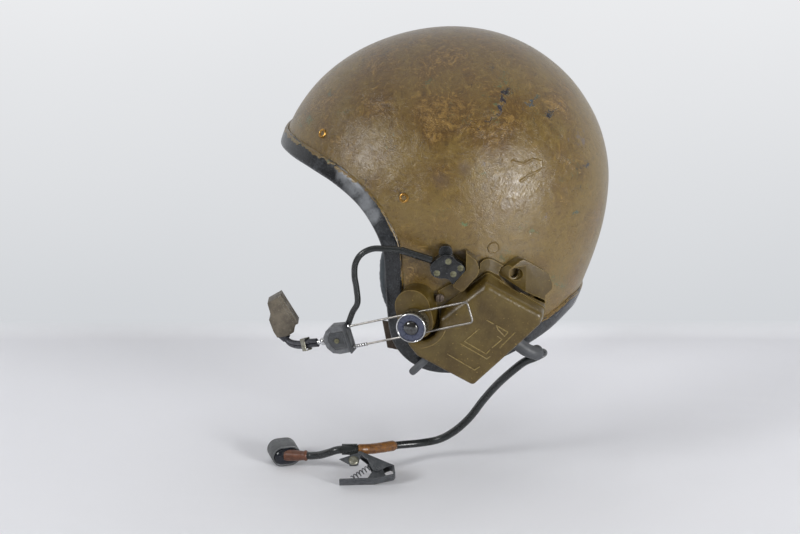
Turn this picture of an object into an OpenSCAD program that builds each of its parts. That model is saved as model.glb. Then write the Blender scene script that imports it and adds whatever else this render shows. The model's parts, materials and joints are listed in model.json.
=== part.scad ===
// Open-face crew helmet with a side communication box, a wire boom with microphone
// and a short lead with clothing clip and connector.
// Millimetres. X to the wearer's left, Y to the back, Z up. The origin is the centre of
// the head space at ear level.

/* [Shell] */
// half of the shell's width
shell_half_w = 120; // [116:0.5:126]
// from the widest section forward to the brow
shell_front = 145; // [140:0.5:152]
// from the widest section back to the rear of the shell
shell_back = 130; // [126:0.5:138]
// from the widest section up to the crown
shell_top = 126; // [120:0.5:132]
// wall of the shell
shell_t = 4; // [3:0.25:4.5]
// height of the widest section above ear level
cen_z = 41; // [38:0.5:44]
// how far the widest section lies behind the head's centre
cen_y = 10; // [8:0.5:12]
// reach of the cheek pieces, degrees from the tilted crown axis
cheek_angle = 134; // [131:0.5:136]
// reach of the brow, degrees from the tilted crown axis
brow_angle = 122; // [119:0.5:124]
// radius of the rivet shanks
rivet_r = 1.9; // [1.5:0.1:2.4]
// radius of the rivet heads
rivet_head_r = 3.8; // [3.2:0.1:4.4]

/* [Edge trim] */
// width of the rubber edge on the outside
trim_w = 12.5; // [9:0.5:15]
// thickness of the rubber edge
trim_t = 2; // [1.5:0.1:2.6]
// width of the rubber edge on the inside
trim_in = 9; // [7:0.5:11]

/* [Liner] */
// thickness of the foam liner
liner_t = 12; // [9:0.5:14]
// thickness of the comfort pads
pad_t = 9; // [6:0.5:11]

/* [Ear cups] */
// height of the ear cup's centre, downwards from ear level
ear_drop = 17; // [14:0.5:20]
// how far the ear cup's centre lies forward of the head's centre
ear_fore = 11; // [8:0.5:13]
// half height of the ear cup
ear_half_h = 44; // [38:0.5:47]
// half width of the ear cup
ear_half_w = 35; // [31:0.5:37]
// depth of the hard ear cup
ear_cup_d = 15; // [12:0.5:18]
// thickness of the ear cushion
cushion_t = 17; // [13:0.5:20]

/* [Communication box] */
// position of the box behind the head's centre
box_y = 27; // [24:0.5:30]
// position of the box below ear level
box_drop = 40; // [37:0.5:43]
// height of the cover's face above the shell at its centre
box_stand = 21.5; // [21:0.25:24]
// depth of the cover
cover_d = 14.5; // [13:0.25:16]
// wall of the cover
cover_wall = 2; // [1.6:0.1:2.6]
// thickness of the gasket under the cover
gasket_t = 1; // [0.8:0.1:1.2]
// radius of the fixing hole in the rear bracket
bracket_hole_r = 4; // [3:0.25:4.5]
// height of the rear bracket above the shell
bracket_h = 16; // [13:0.5:18]
// thickness of the microphone plug
plug_t = 10; // [8:0.5:11]

/* [Boom] */
// radius of the boom wire
wire_r = 0.8; // [0.6:0.05:1]
// spacing of the two wires
wire_gap = 17; // [15.5:0.25:18]
// length of the wires behind the pivot
wire_rear = 46; // [40:0.5:50]
// length of the wires from the pivot to the block
wire_front = 56; // [50:0.5:60]
// radius of the knob
knob_r = 11.8; // [10.5:0.1:12.6]
// height of the knob
knob_h = 8; // [7:0.25:10]
// radius of the bare end of the boom mounting on the box
lobe_r = 14; // [13:0.25:15]
// thickness of the boom block
block_t = 11; // [9:0.5:13]

/* [Microphone] */
// radius of each microphone rod
rod_r = 1.8; // [1.5:0.1:2.2]
// width of the microphone, seen from the mouth
mic_w = 15; // [12:0.5:20]
// length of the microphone body
mic_l = 31; // [27:0.5:34]

/* [Leads] */
// radius of the main lead
lead_r = 3.3; // [2.8:0.1:3.6]
// radius of the microphone lead
mic_lead_r = 2.4; // [2:0.1:2.7]
// outer radius of the rubber elbow
elbow_r = 5.4; // [4.8:0.1:6]

/* [Connector and clip] */
// width of the connector
con_w = 25; // [22:0.5:28]
// height of the connector
con_h = 18; // [15:0.5:21]
// depth of the connector
con_d = 20; // [15:0.5:24]
// width of the clip's plates
clip_w = 11; // [9:0.5:13]
// thickness of the clip's sheet metal
clip_t = 1.2; // [0.8:0.1:1.6]
// radius of the clip's spring
clip_spring_r = 2.6; // [2:0.1:3]

/* [Fits] */
// gap between two touching hard parts
fit = 0.1; // [0.05:0.05:0.2]
// gap around rubber, foam and cloth
soft_gap = 0.3; // [0.2:0.05:0.5]
// gap inside the shell, where its flat facets stand in a little
facet_gap = 0.7; // [0.5:0.05:1]

/* [Hidden] */
$fn = 48;
cen = [0, cen_y, cen_z];
tilt = 45;
crown_axis = [0, sin(tilt), cos(tilt)];
side_axis = [1, 0, 0];
rear_axis = [0, cos(tilt), -sin(tilt)];
// how quickly the sides and the two ends draw in below the widest section
side_drop = 340;
end_drop = 141;
tuck = 1 / (end_drop * end_drop) - 1 / (side_drop * side_drop);
columns = 72;
rows = 16;

// Rim of the shell: bearing around the crown axis against angle from it.
rim_pts = [
  [-90, brow_angle], [-70, 119.5], [-55, 116], [-42, 113], [-30, 112], [-20, 113.8],
  [-10, 117.7], [0, 124.5], [10, 130.5], [20, cheek_angle], [27, cheek_angle - 0.8],
  [33, cheek_angle - 4.5], [38, cheek_angle - 10.5], [44, 114], [51, 105.3], [58, 98.6],
  [68, 91.2], [80, 88.5], [90, 88]
];
// Edge of the foam liner in the same terms.
liner_pts = [
  [-90, 108], [-60, 99], [-30, 90], [0, 83], [30, 79], [60, 76], [90, 75]
];

// Curves and the shell's form.

// slope of a curve through points at point i
function slope_at(pts, i) =
  i <= 0 || i >= len(pts) - 1 ? 0
  : (pts[i + 1][1] - pts[i - 1][1]) / (pts[i + 1][0] - pts[i - 1][0]);

// smooth curve through points, value at t
function smooth(t, pts, i = 0) =
  t > pts[i + 1][0] && i < len(pts) - 2 ? smooth(t, pts, i + 1)
  : let (
      h = pts[i + 1][0] - pts[i][0],
      u = min(1, max(0, (t - pts[i][0]) / h)),
      s0 = slope_at(pts, i) * h,
      s1 = slope_at(pts, i + 1) * h
    )
    (2 * u * u * u - 3 * u * u + 1) * pts[i][1] + (u * u * u - 2 * u * u + u) * s0
    + (3 * u * u - 2 * u * u * u) * pts[i + 1][1] + (u * u * u - u * u) * s1;

// bearing folded to one half, -90 at the brow and 90 at the nape
function fold(az) =
  let (m = (az + 90) % 360)
  m <= 180 ? m - 90 : 270 - m;

function rim(az) = smooth(fold(az), rim_pts);
function liner_edge(az) = smooth(fold(az), liner_pts);

function heading(az, al) =
  crown_axis * cos(al) + (side_axis * cos(az) + rear_axis * sin(az)) * sin(al);

// distance from the centre to the shell's outer surface moved out by off
function reach(d, off) =
  let (
    a = shell_half_w + off,
    b = (d[1] < 0 ? shell_front : shell_back) + off,
    c = (d[2] < 0 ? side_drop : shell_top) + off,
    g = d[0] * d[0] / (a * a) + d[1] * d[1] / (b * b) + d[2] * d[2] / (c * c),
    k = d[2] < 0 ? d[2] * d[2] * d[1] * d[1] / (b * b) * tuck : 0
  )
  sqrt(2 / (g + sqrt(g * g + 4 * k)));

function skin(az, al, off) =
  let (d = heading(az, al))
  cen + d * reach(d, off);

// the shell's outer surface seen from the side: X for a given Y and Z
function skin_x(y, z, off) =
  let (
    b = (y < cen_y ? shell_front : shell_back) + off,
    c = (z < cen_z ? side_drop : shell_top) + off,
    s = (y - cen_y) * (y - cen_y) / (b * b),
    q = (z - cen_z) * (z - cen_z),
    k = z < cen_z ? q * s * tuck : 0
  )
  (shell_half_w + off) * sqrt(max(0.01, 1 - s - q / (c * c) - k));

// Solids from points.

// one band of quads between two rings of points that start at index a and b;
// other[j] true splits quad j along its other diagonal
function band(a, b, n, closed = true, other = []) = [
  for (j = [0 : n - (closed ? 1 : 2)])
    let (k = (j + 1) % n)
    each other[j] == true
      ? [[a + j, b + j, a + k], [b + j, b + k, a + k]]
      : [[a + j, b + j, b + k], [a + j, b + k, a + k]]
];

// two bowls with a shared edge: outer surface, inner surface, both closed at the crown;
// the last band along the edge is as wide as hem says
module bowl(edge, hem, out, in, steps) {
  n = len(edge);
  grid = [
    for (off = [out, in])
      for (i = [1 : steps], j = [0 : n - 1])
        skin(360 * j / n, i < steps ? (edge[j] - hem[j]) * i / (steps - 1) : edge[j], off)
  ];
  tops = [skin(0, 0, out), skin(0, 0, in)];
  // where the edge drops, quads are split the short way
  drops = [for (j = [0 : n - 1]) edge[(j + 1) % n] > edge[j]];
  first = 2;
  second = 2 + steps * n;
  outer_fan = [for (j = [0 : n - 1]) [0, first + (j + 1) % n, first + j]];
  inner_fan = [for (j = [0 : n - 1]) [1, second + j, second + (j + 1) % n]];
  outer_bands = [
    for (i = [0 : steps - 2]) each
      [for (f = band(first + i * n, first + (i + 1) * n, n, true, drops))
        [f[2], f[1], f[0]]]
  ];
  inner_bands = [
    for (i = [0 : steps - 2]) each
      band(second + i * n, second + (i + 1) * n, n, true, drops)
  ];
  lip = [
    for (f = band(first + (steps - 1) * n, second + (steps - 1) * n, n))
      [f[2], f[1], f[0]]
  ];
  polyhedron(
    points = concat(tops, grid),
    faces = concat(outer_fan, inner_fan, outer_bands, inner_bands, lip)
  );
}

// a tube through rings of points, closed at both ends or joined into a loop
module ring_solid(rings, loop = false, other = []) {
  k = len(rings[0]);
  n = len(rings);
  last = loop ? n - 1 : n - 2;
  walls = [for (i = [0 : last]) each band(i * k, ((i + 1) % n) * k, k, true, other[i])];
  caps = loop ? [] : [[for (j = [0 : k - 1]) j], [for (j = [0 : k - 1]) n * k - 1 - j]];
  polyhedron(points = [for (r = rings) each r], faces = concat(walls, caps));
}

// a solid between two grids of points with m columns each
module slab(top, under, m) {
  n = len(top) / m;
  size = n * m;
  grid_faces = [
    for (i = [0 : n - 2]) each band(i * m, (i + 1) * m, m, false)
  ];
  under_faces = [for (f = grid_faces) [f[2] + size, f[1] + size, f[0] + size]];
  border = concat(
    [for (j = [0 : m - 1]) j],
    [for (i = [1 : n - 1]) i * m + m - 1],
    [for (j = [m - 2 : -1 : 0]) (n - 1) * m + j],
    [for (i = [n - 2 : -1 : 1]) i * m]
  );
  b = len(border);
  sides = [
    for (j = [0 : b - 1])
      let (p = border[j], q = border[(j + 1) % b])
      each [[p, q, q + size], [p, q + size, p + size]]
  ];
  polyhedron(points = concat(top, under), faces = concat(grid_faces, under_faces, sides));
}

function unit(v) = v / norm(v);

// point on a smooth line through points, at parameter t from 0 to len-1
function along(pts, t) =
  let (
    last = len(pts) - 1,
    i = min(last - 1, floor(t)),
    u = t - i,
    p0 = i > 0 ? pts[i - 1] : 2 * pts[0] - pts[1],
    p1 = pts[i],
    p2 = pts[i + 1],
    p3 = i < last - 1 ? pts[i + 2] : 2 * pts[last] - pts[last - 1]
  )
  0.5 * (2 * p1 + (p2 - p0) * u + (2 * p0 - 5 * p1 + 4 * p2 - p3) * u * u
    + (3 * p1 - p0 - 3 * p2 + p3) * u * u * u);

// round cord along a smooth line through points, from one parameter to another;
// steps rings between two points
module cord(pts, r, steps, sides, from = 0, to = 0) {
  stop = to > 0 ? to : len(pts) - 1;
  n = round((stop - from) * steps);
  line = [for (i = [0 : n]) along(pts, from + (stop - from) * i / n)];
  dirs = [
    for (i = [0 : n])
      let (t = from + (stop - from) * i / n)
      unit(along(pts, min(len(pts) - 1, t + 0.05)) - along(pts, max(0, t - 0.05)))
  ];
  start = unit(cross(dirs[0], abs(dirs[0][2]) < 0.8 ? [0, 0, 1] : [1, 0, 0]));
  normals = [
    for (i = 0, u = start; i <= n; i = i + 1,
      u = i <= n ? unit(u - dirs[i] * (u * dirs[i])) : u) u
  ];
  ring_solid([
    for (i = [0 : n])
      let (b = cross(dirs[i], normals[i]))
      [for (a = [0 : sides - 1])
        line[i] + r * (normals[i] * cos(360 * a / sides) + b * sin(360 * a / sides))]
  ]);
}

// Places of the main groups.

// local x to the back, y up, z out of the wearer's left side
module on_side(p, yaw = 0, pitch = 0) {
  translate(p)
    rotate([0, pitch, yaw])
      rotate([90, 0, 90])
        children();
}

box_z = -box_drop;
box_yaw = -4;
box_pitch = 5;
box_at = [skin_x(box_y, box_z, 0) + box_stand, box_y, box_z];

module box_frame() {
  on_side(box_at, box_yaw, box_pitch)
    children();
}

// Boom pivot: level axis, turned towards the front; the wires lie in the local plane z = 0.
boom_yaw = -15;
boom_slope = 17;
pivot = box_at + [1.9, -49.5, 1.8];

module pivot_frame() {
  on_side(pivot, boom_yaw)
    children();
}

module boom_frame() {
  pivot_frame()
    rotate([0, 0, boom_slope])
      children();
}

// The shell's left side as a solid, to cut what sits on it.
patch_y0 = -60;
patch_z0 = -112;
patch_step = 12;
patch_cols = 14;
patch_rows = 13;
patch_back = shell_half_w / 2;

module side_patch(off, back = patch_back) {
  ys = [for (i = [0 : patch_cols - 1]) patch_y0 + i * patch_step];
  zs = [for (i = [0 : patch_rows - 1]) patch_z0 + i * patch_step];
  slab(
    [for (z = zs, y = ys) [max(back + 1, skin_x(y, z, off)), y, z]],
    [for (z = zs, y = ys) [back, y, z]],
    patch_cols
  );
}

// Shell, edge rubber and lining.

// places of the rivets on the wearer's left, as bearing and angle
rivet_spots = [[-60, 105.5], [-19, 98.5], [18, 88.5]];
rivet_in = 1.2;

module on_skin(az, al, off) {
  d = heading(az, al);
  p = skin(az, al, off);
  q1 = skin(az + 1, al, off) - skin(az - 1, al, off);
  q2 = skin(az, al + 1, off) - skin(az, al - 1, off);
  n = unit(cross(q2, q1));
  pitch = acos(n[2]);
  turn = atan2(n[1], n[0]);
  translate(p)
    rotate([0, pitch, turn])
      children();
}

// both sides, mirrored
module both() {
  children();
  mirror([1, 0, 0])
    children();
}

// screws from the inside into the box and the rear bracket, as bearing and angle
box_screw_spots = [[39.5, 101], [31.9, 120.6], [36.7, 84.6]];
box_screw_r = 1.7;
box_screw_head_r = 3.2;
box_screw_in = 1.8;
box_screw_out = 6;

module shell() {
  color([0.46, 0.38, 0.25])
    difference() {
      bowl(
        [for (j = [0 : columns - 1]) rim(360 * j / columns)],
        [for (j = [0 : columns - 1]) band_angle(360 * j / columns, trim_w, -shell_t)],
        0, -shell_t, rows
      );
      both()
        for (s = rivet_spots)
          on_skin(s[0], s[1], 0)
            cylinder(r = rivet_r + fit, h = 4 * shell_t, center = true, $fn = 24);
      for (s = concat(box_screw_spots, [lug_spot]))
        on_skin(s[0], s[1], 0)
          cylinder(r = box_screw_r + fit, h = 4 * shell_t, center = true, $fn = 24);
    }
}

module shell_rivets() {
  color([0.62, 0.5, 0.26])
    both()
      for (s = rivet_spots)
        on_skin(s[0], s[1], 0) {
          translate([0, 0, -shell_t - rivet_in - facet_gap])
            cylinder(r = rivet_r, h = shell_t + rivet_in + facet_gap + soft_gap + 0.3,
              $fn = 24);
          translate([0, 0, soft_gap])
            cylinder(r1 = rivet_head_r, r2 = rivet_head_r - 1, h = 1.1, $fn = 32);
          translate([0, 0, -shell_t - rivet_in - facet_gap])
            cylinder(r = rivet_head_r, h = rivet_in, $fn = 32);
        }
}

// Section of the edge rubber: distance from the rim, offset from the shell's face.
function trim_section() = [
  [trim_w, soft_gap + 0.5], [trim_w - 1, soft_gap + trim_t * 0.9],
  [trim_w * 0.5, soft_gap + trim_t], [0.5, soft_gap + trim_t],
  [-trim_t * 0.8, trim_t * 0.3], [-trim_t - 0.4, -shell_t * 0.5],
  [-trim_t * 0.8, -shell_t - trim_t * 0.6],
  [0.5, -shell_t - facet_gap - trim_t * 0.8],
  [trim_in - 1, -shell_t - facet_gap - trim_t * 0.8],
  [trim_in, -shell_t - facet_gap - 0.5],
  [trim_in, -shell_t - facet_gap], [-soft_gap * 1.5, -shell_t - facet_gap],
  [-soft_gap * 1.5, soft_gap], [trim_w, soft_gap]
];

// stretch that keeps a band along the rim equally wide where the rim slants
function slant(az) =
  let (m = (rim(az + 1.5) - rim(az - 1.5)) / 3 / sin(rim(az)))
  sqrt(1 + m * m);

// angle that a band of width a takes up next to the rim
function band_angle(az, a, off) =
  a * slant(az) / norm(skin(az, rim(az), off) - cen) * 180 / PI;

function from_rim(az, a, off) = skin(az, rim(az) - band_angle(az, a, off), off);

// a section swept along the rim at the shell's own columns, from column j0 to j1, with
// its quads split the same way as the shell's
module along_rim(section, j0, j1, loop) {
  k = len(section);
  step = 360 / columns;
  ring_solid(
    [for (j = [j0 : j1]) [for (s = section) from_rim(j * step, s[0], s[1])]],
    loop,
    [for (j = [j0 : j1])
      let (drops = rim((j + 1) * step) > rim(j * step))
      [for (i = [0 : k - 1])
        let (away = section[(i + 1) % k][0] > section[i][0])
        drops != away]]
  );
}

module edge_trim() {
  color([0.22, 0.23, 0.25])
    along_rim(trim_section(), 0, columns - 1, true);
}

liner_out = -shell_t - facet_gap - soft_gap;
liner_in = liner_out - liner_t;
pad_out = liner_in - facet_gap - soft_gap;

module impact_liner() {
  color([0.75, 0.73, 0.66])
    bowl(
      [for (j = [0 : 47]) liner_edge(360 * j / 48)], [for (j = [0 : 47]) 8],
      liner_out, liner_in, 9
    );
}

// Sewn pad on the inside: full height at the middle, drawn in at the seams.
module inner_pad(az0, az1, al0, al1, n, m, channels) {
  top = [
    for (j = [0 : m], i = [0 : n])
      let (
        s = i / n,
        t = j / m,
        edge = pow(max(0, sin(180 * s)) * max(0, sin(180 * t)), 0.4),
        dip = 1 - 0.3 * pow(abs(cos(180 * channels * s)), 8)
      )
      skin(az0 + (az1 - az0) * s, al0 + (al1 - al0) * t,
        pad_out - pad_t * (0.25 + 0.75 * edge * dip))
  ];
  under = [
    for (j = [0 : m], i = [0 : n])
      skin(az0 + (az1 - az0) * i / n, al0 + (al1 - al0) * j / m, pad_out)
  ];
  slab(top, under, n + 1);
}

module crown_pad() {
  color([0.3, 0.28, 0.26])
    inner_pad(-170, -10, 22, 62, 16, 8, 4);
}

module brow_pad() {
  color([0.3, 0.28, 0.26])
    inner_pad(-146, -34, 78, 90, 20, 6, 4);
}

module nape_pad() {
  color([0.3, 0.28, 0.26])
    inner_pad(44, 136, 52, 68, 16, 6, 4);
}

// Ear cups.

ear = [0, -ear_fore, -ear_drop];
// inner face of the shell at the ear, less room for the cup's backing pad
ear_back_x = skin_x(ear[1], ear[2], -shell_t) - 2.5;
ear_pad_t = 9;
ear_cup_x = ear_back_x - ear_pad_t;
ear_open_x = ear_cup_x - ear_cup_d;
phone_r = ear_half_w - 11;
phone_t = 9;

// flat oval with soft corners, n points
function oval(w, h, n, p = 2.4) = [
  for (i = [0 : n - 1])
    let (c = cos(360 * i / n), s = sin(360 * i / n))
    [w * sign(c) * pow(abs(c), 2 / p), h * sign(s) * pow(abs(s), 2 / p)]
];

module ear_place(x) {
  on_side([x, ear[1], ear[2]])
    children();
}

module ear_cup() {
  color([0.2, 0.21, 0.23])
    ear_place(ear_open_x)
      difference() {
        union() {
          linear_extrude(height = ear_cup_d * 0.6)
            polygon(oval(ear_half_w, ear_half_h, 32));
          linear_extrude(height = ear_cup_d)
            polygon(oval(ear_half_w - 6, ear_half_h - 7, 32));
        }
        translate([0, 0, -1])
          linear_extrude(height = ear_cup_d - 2)
            polygon(oval(ear_half_w - 9, ear_half_h - 10, 32));
      }
}

module ear_cushion() {
  n = 36;
  path = oval(ear_half_w - 5, ear_half_h - 5, n, 2.3);
  w = 9.5;
  t = cushion_t;
  // section of the stuffed ring: across, and towards the head
  sec = [
    [0.55, 0], [0.95, 0.2], [1, 0.5], [0.85, 0.82], [0.4, 0.99], [-0.1, 1],
    [-0.6, 0.88], [-0.9, 0.6], [-0.95, 0.25], [-0.6, 0]
  ];
  color([0.2, 0.22, 0.25])
    ear_place(ear_open_x - soft_gap)
      ring_solid(
        [for (i = [0 : n - 1])
          let (
            p = path[i],
            d = unit(path[(i + 1) % n] - path[(i + n - 1) % n]),
            o = [d[1], -d[0]],
            crease = 1 - 0.05 * pow(abs(cos(5 * 360 * i / n)), 6)
          )
          [for (s = sec)
            [p[0] + o[0] * w * s[0] * crease, p[1] + o[1] * w * s[0] * crease,
             -t * s[1] * crease]]],
        true
      );
}

module earphone() {
  color([0.16, 0.16, 0.18])
    ear_place(ear_open_x + ear_cup_d - 3 - phone_t - fit)
      difference() {
        cylinder(r = phone_r, h = phone_t);
        translate([0, 0, -1])
          cylinder(r = phone_r - 4, h = 2.5);
        for (a = [0 : 60 : 300])
          rotate([0, 0, a])
            translate([phone_r * 0.5, 0, -1])
              cylinder(r = 1.8, h = 5, $fn = 16);
      }
}

module ear_backing() {
  color([0.35, 0.34, 0.32])
    intersection() {
      ear_place(ear_cup_x + soft_gap)
        linear_extrude(height = ear_pad_t)
          polygon(oval(ear_half_w - 14, ear_half_h - 16, 24));
      side_patch(-shell_t - facet_gap);
    }
}

// Webbing ends of the chin strap, behind the rubber edge.
strap_w = 16;
strap_t = 2;
strap_len = 24;
strap_bearing = 15;
strap_root = skin(strap_bearing, rim(strap_bearing), 0);
strap_at = [strap_root[1] - 7, strap_root[2] - 2.5];
strap_off = -shell_t - facet_gap - soft_gap - trim_t * 0.8;

module chin_strap() {
  n = 10;
  m = 4;
  function spot(i, j) = [
    strap_at[0] + strap_w * j / m + 4 * i / n,
    strap_at[1] - strap_len * i / n
  ];
  face = [
    for (i = [0 : n], j = [0 : m])
      let (p = spot(i, j), rib = 0.2 * (j % 2))
      [skin_x(p[0], p[1], strap_off) - strap_t - rib, p[0], p[1]]
  ];
  back = [
    for (i = [0 : n], j = [0 : m])
      let (p = spot(i, j))
      [skin_x(p[0], p[1], strap_off), p[0], p[1]]
  ];
  color([0.24, 0.18, 0.13])
    slab(face, back, m + 1);
}

// Communication box.

// Corner centres of the cover's face, of its foot and of the flange (back, up), clockwise.
face_pts = [[6, 31.5], [46.8, 8], [45.8, 2.6], [-4, -49.5], [-46, -26], [-51.5, -18.5]];
foot_pts = [[6.5, 33.5], [48.2, 7], [47.4, 1], [-4, -52], [-48, -27.5], [-55, -17]];
flange_pts = [[6.5, 40.5], [46, 14], [44, 2], [-4, -46], [-45.5, -22.5], [-52, -16]];
corner_r = 3;

// outline of circles of one radius around the corners, k steps at each corner
function soft_outline(pts, r, k = 5) =
  let (n = len(pts))
  [
    for (i = [0 : n - 1])
      let (
        c = pts[i],
        d0 = c - pts[(i + n - 1) % n],
        d1 = pts[(i + 1) % n] - c,
        a0 = atan2(d0[0], -d0[1]),
        a1 = atan2(d1[0], -d1[1]),
        da = ((a1 - a0) % 360 - 360) % 360
      )
      for (j = [0 : k])
        c + r * [cos(a0 + da * j / k), sin(a0 + da * j / k)]
  ];

function ring_at(pts, r, z) = [for (p = soft_outline(pts, r)) [p[0], p[1], z]];

module cover_form(shrink, deep) {
  r = corner_r - shrink;
  ring_solid([
    ring_at(face_pts, max(0.2, r - 1.7), -shrink),
    ring_at(face_pts, max(0.3, r - 0.6), -shrink - 0.5),
    ring_at(face_pts, max(0.4, r), -shrink - 1.8),
    ring_at(foot_pts, max(0.4, r), -deep)
  ]);
}

scoop_r = lobe_r + 3.4;
scoop_deep = 2 * cover_d;

module scoop(r) {
  pivot_frame()
    translate([0, 0, -scoop_deep])
      cylinder(r = r, h = 2 * scoop_deep, $fn = 48);
}

// short blanked cable outlet in the cover's lower front wall
blank_root = [-35.5, -30, -10];
blank_turn = 136;
blank_r = 2.9;
blank_len = 25.2;

module blank_line(r, from, len) {
  box_frame()
    translate(blank_root)
      rotate([0, 0, blank_turn + 90])
        rotate([0, 90, 0])
          translate([0, 0, from])
            cylinder(r = r, h = len, $fn = 32);
}

module housing_cover() {
  color([0.39, 0.34, 0.23])
    difference() {
      box_frame()
        cover_form(0, cover_d);
      difference() {
        box_frame()
          cover_form(cover_wall, cover_d + 1);
        scoop(scoop_r + cover_wall);
      }
      scoop(scoop_r);
      blank_line(blank_r + soft_gap, -2, 12);
    }
}

gasket_top = -cover_d;
base_top = gasket_top - gasket_t;

module foot_outline(grow) {
  polygon(soft_outline(foot_pts, corner_r + grow));
}

module cover_gasket() {
  color([0.1, 0.1, 0.11])
    difference() {
      box_frame()
        translate([0, 0, base_top])
          linear_extrude(height = gasket_t)
            difference() {
              foot_outline(-0.3);
              foot_outline(-cover_wall);
            }
      scoop(scoop_r + 0.3);
    }
}

// Plug frame: local origin on the plug's face.
plug_y = 3;
plug_z = 4.5;
plug_lift = 4.6;
plug_x = skin_x(plug_y, plug_z, 0) + plug_lift + plug_t;

module plug_frame() {
  on_side([plug_x, plug_y, plug_z])
    children();
}

plug_pts = [
  [-13.4, 2.6], [-11, 5.6], [-4.8, 10.6], [-2, 11.6], [1.5, 11.3], [4.3, 9.6], [6.5, 7],
  [11.5, 3.4], [13, 1], [13.2, -1.6], [10.6, -4.8], [4.4, -12], [3.4, -11.6], [1.2, -8.5],
  [-2, -7.6], [-5, -7.6], [-9.8, -6.6], [-12.4, -4.4], [-13.6, -1]
];
plug_screws = [[0.6, 6], [-8.2, -3.5], [4.5, -4.2], [10, 0.6]];
plug_screw_r = 2.5;
plug_round = [-1.5, 12];
plug_round_r = 5.3;
guard_pts = [
  [14.4, 12.4], [14.2, -1.6], [4.9, -12.9], [4.6, -15], [11.2, -18.9], [13, -17.6],
  [22.4, -6.8], [24, -3], [24, 1.5], [22, 6.4]
];
seat_pts = [
  [-11.5, 2.2], [-4, 9.4], [4, 8.4], [14.6, 2], [14.6, -2], [5, -12.6], [1, -6.6],
  [-9.4, -5.6]
];
socket_room_pts = [
  [-13, -7], [-13, 4], [-4.5, 11.4], [5, 10.4], [14, 14], [23.5, 7], [25.5, 2], [25.5, -3.6],
  [13.6, -19.2], [11.2, -20.6], [3, -15.8], [0, -8.4]
];

module socket_block() {
  color([0.4, 0.34, 0.2])
    difference() {
      plug_frame()
        union() {
          translate([0, 0, -34])
            linear_extrude(height = 32.5)
              polygon(guard_pts);
          translate([0, 0, -34])
            linear_extrude(height = 34 - plug_t)
              polygon(seat_pts);
        }
      plug_frame()
        translate([plug_round[0], plug_round[1], -plug_t - 1 - fit])
          cylinder(r = plug_round_r + fit, h = 20, $fn = 32);
      box_frame()
        translate([0, 0, -base_deep])
          linear_extrude(height = base_deep + 5)
            foot_outline(1);
      side_patch(soft_gap);
    }
}

module mic_plug_body() {
  color([0.12, 0.12, 0.13])
    plug_frame()
      difference() {
        union() {
          translate([0, 0, -plug_t + fit])
            linear_extrude(height = plug_t - fit)
              polygon(plug_pts);
          translate([plug_round[0], plug_round[1], -plug_t - 1])
            cylinder(r = plug_round_r, h = 6.5, $fn = 32);
        }
        for (p = plug_screws)
          translate([p[0], p[1], -2])
            cylinder(r = plug_screw_r + fit, h = 4, $fn = 24);
      }
}

module mic_plug_screws() {
  color([0.55, 0.56, 0.5])
    plug_frame()
      for (p = plug_screws)
        translate([p[0], p[1], -2])
          difference() {
            cylinder(r = plug_screw_r, h = 1.6, $fn = 24);
            translate([-4, -0.3, 1.1])
              cube([8, 0.6, 2]);
          }
}

lug_at = [-25.5, 19.5];
lug_spot = [17.2, 113.5];
lug_size = 9.5;
lug_top = 3.6;
lug_head_r = 3.3;
// free height over the lug for the screw and its driver
lug_room = 20;
lobe_top = 4.6;
lobe_shift = -3;
lobe_rise = 11.5;
post_r = 3;
base_deep = 60;

// rounded mounting for the boom
module lobe(r, drop) {
  pivot_frame()
    translate([0, 0, -34])
      linear_extrude(height = 34 - drop)
        polygon(soft_outline([[0, 0], [lobe_shift, lobe_rise]], r, 20));
}

module base_outline() {
  polygon(soft_outline(flange_pts, corner_r + 3.6));
  translate(lug_at)
    rotate([0, 0, 32])
      square(lug_size, center = true);
  polygon([[-30, 22], [-24, 26], [-8, 34], [-6, 20], [-22, 4], [-36, 8]]);
}

module housing_base() {
  color([0.36, 0.31, 0.19])
    difference() {
      union() {
        box_frame()
          translate([0, 0, -base_deep])
            linear_extrude(height = base_deep + base_top)
              foot_outline(0.6);
        intersection() {
          box_frame()
            translate([0, 0, -base_deep])
              linear_extrude(height = base_deep + base_top)
                base_outline();
          side_patch(lug_top);
        }
        lobe(lobe_r, lobe_top);
      }
      side_patch(soft_gap);
      difference() {
        box_frame()
          translate([0, 0, -base_deep])
            linear_extrude(height = base_deep + 2)
              foot_outline(-cover_wall - 1);
        side_patch(2.6);
        scoop(scoop_r + 1);
        for (s = [box_screw_spots[0], box_screw_spots[1]])
          on_skin(s[0], s[1], 0)
            cylinder(r = 4, h = box_screw_out + 1.5, $fn = 24);
      }
      pivot_frame()
        translate([0, 0, -16])
          cylinder(r = post_r + fit, h = 20, $fn = 32);
      plug_frame()
        translate([0, 0, -34])
          linear_extrude(height = 40)
            polygon(socket_room_pts);
      bracket_frame()
        translate([0, 0, -40])
          linear_extrude(height = 44)
            polygon(bracket_room_pts);
      for (s = [box_screw_spots[0], box_screw_spots[1], lug_spot])
        on_skin(s[0], s[1], 0)
          cylinder(r = box_screw_r + fit, h = 2 * box_screw_out, center = true, $fn = 24);
      on_skin(lug_spot[0], lug_spot[1], lug_top + 0.3 - fit)
        cylinder(r = lug_head_r + fit, h = lug_room, $fn = 32);
      rim_clearance();
      elbow_root(elbow_r + 2 * soft_gap, -12, 30);
    }
}

// keeps the box clear of the rubber edge where it hangs below the rim
module rim_clearance() {
  out = soft_gap * 2 + trim_t + 1.2;
  along_rim(
    [[trim_w + 0.5, -2], [trim_w + 0.5, out], [trim_w * 0.5, out], [0.5, out], [-5, out],
     [-5, -2]],
    -4, 15, false
  );
}

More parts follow.
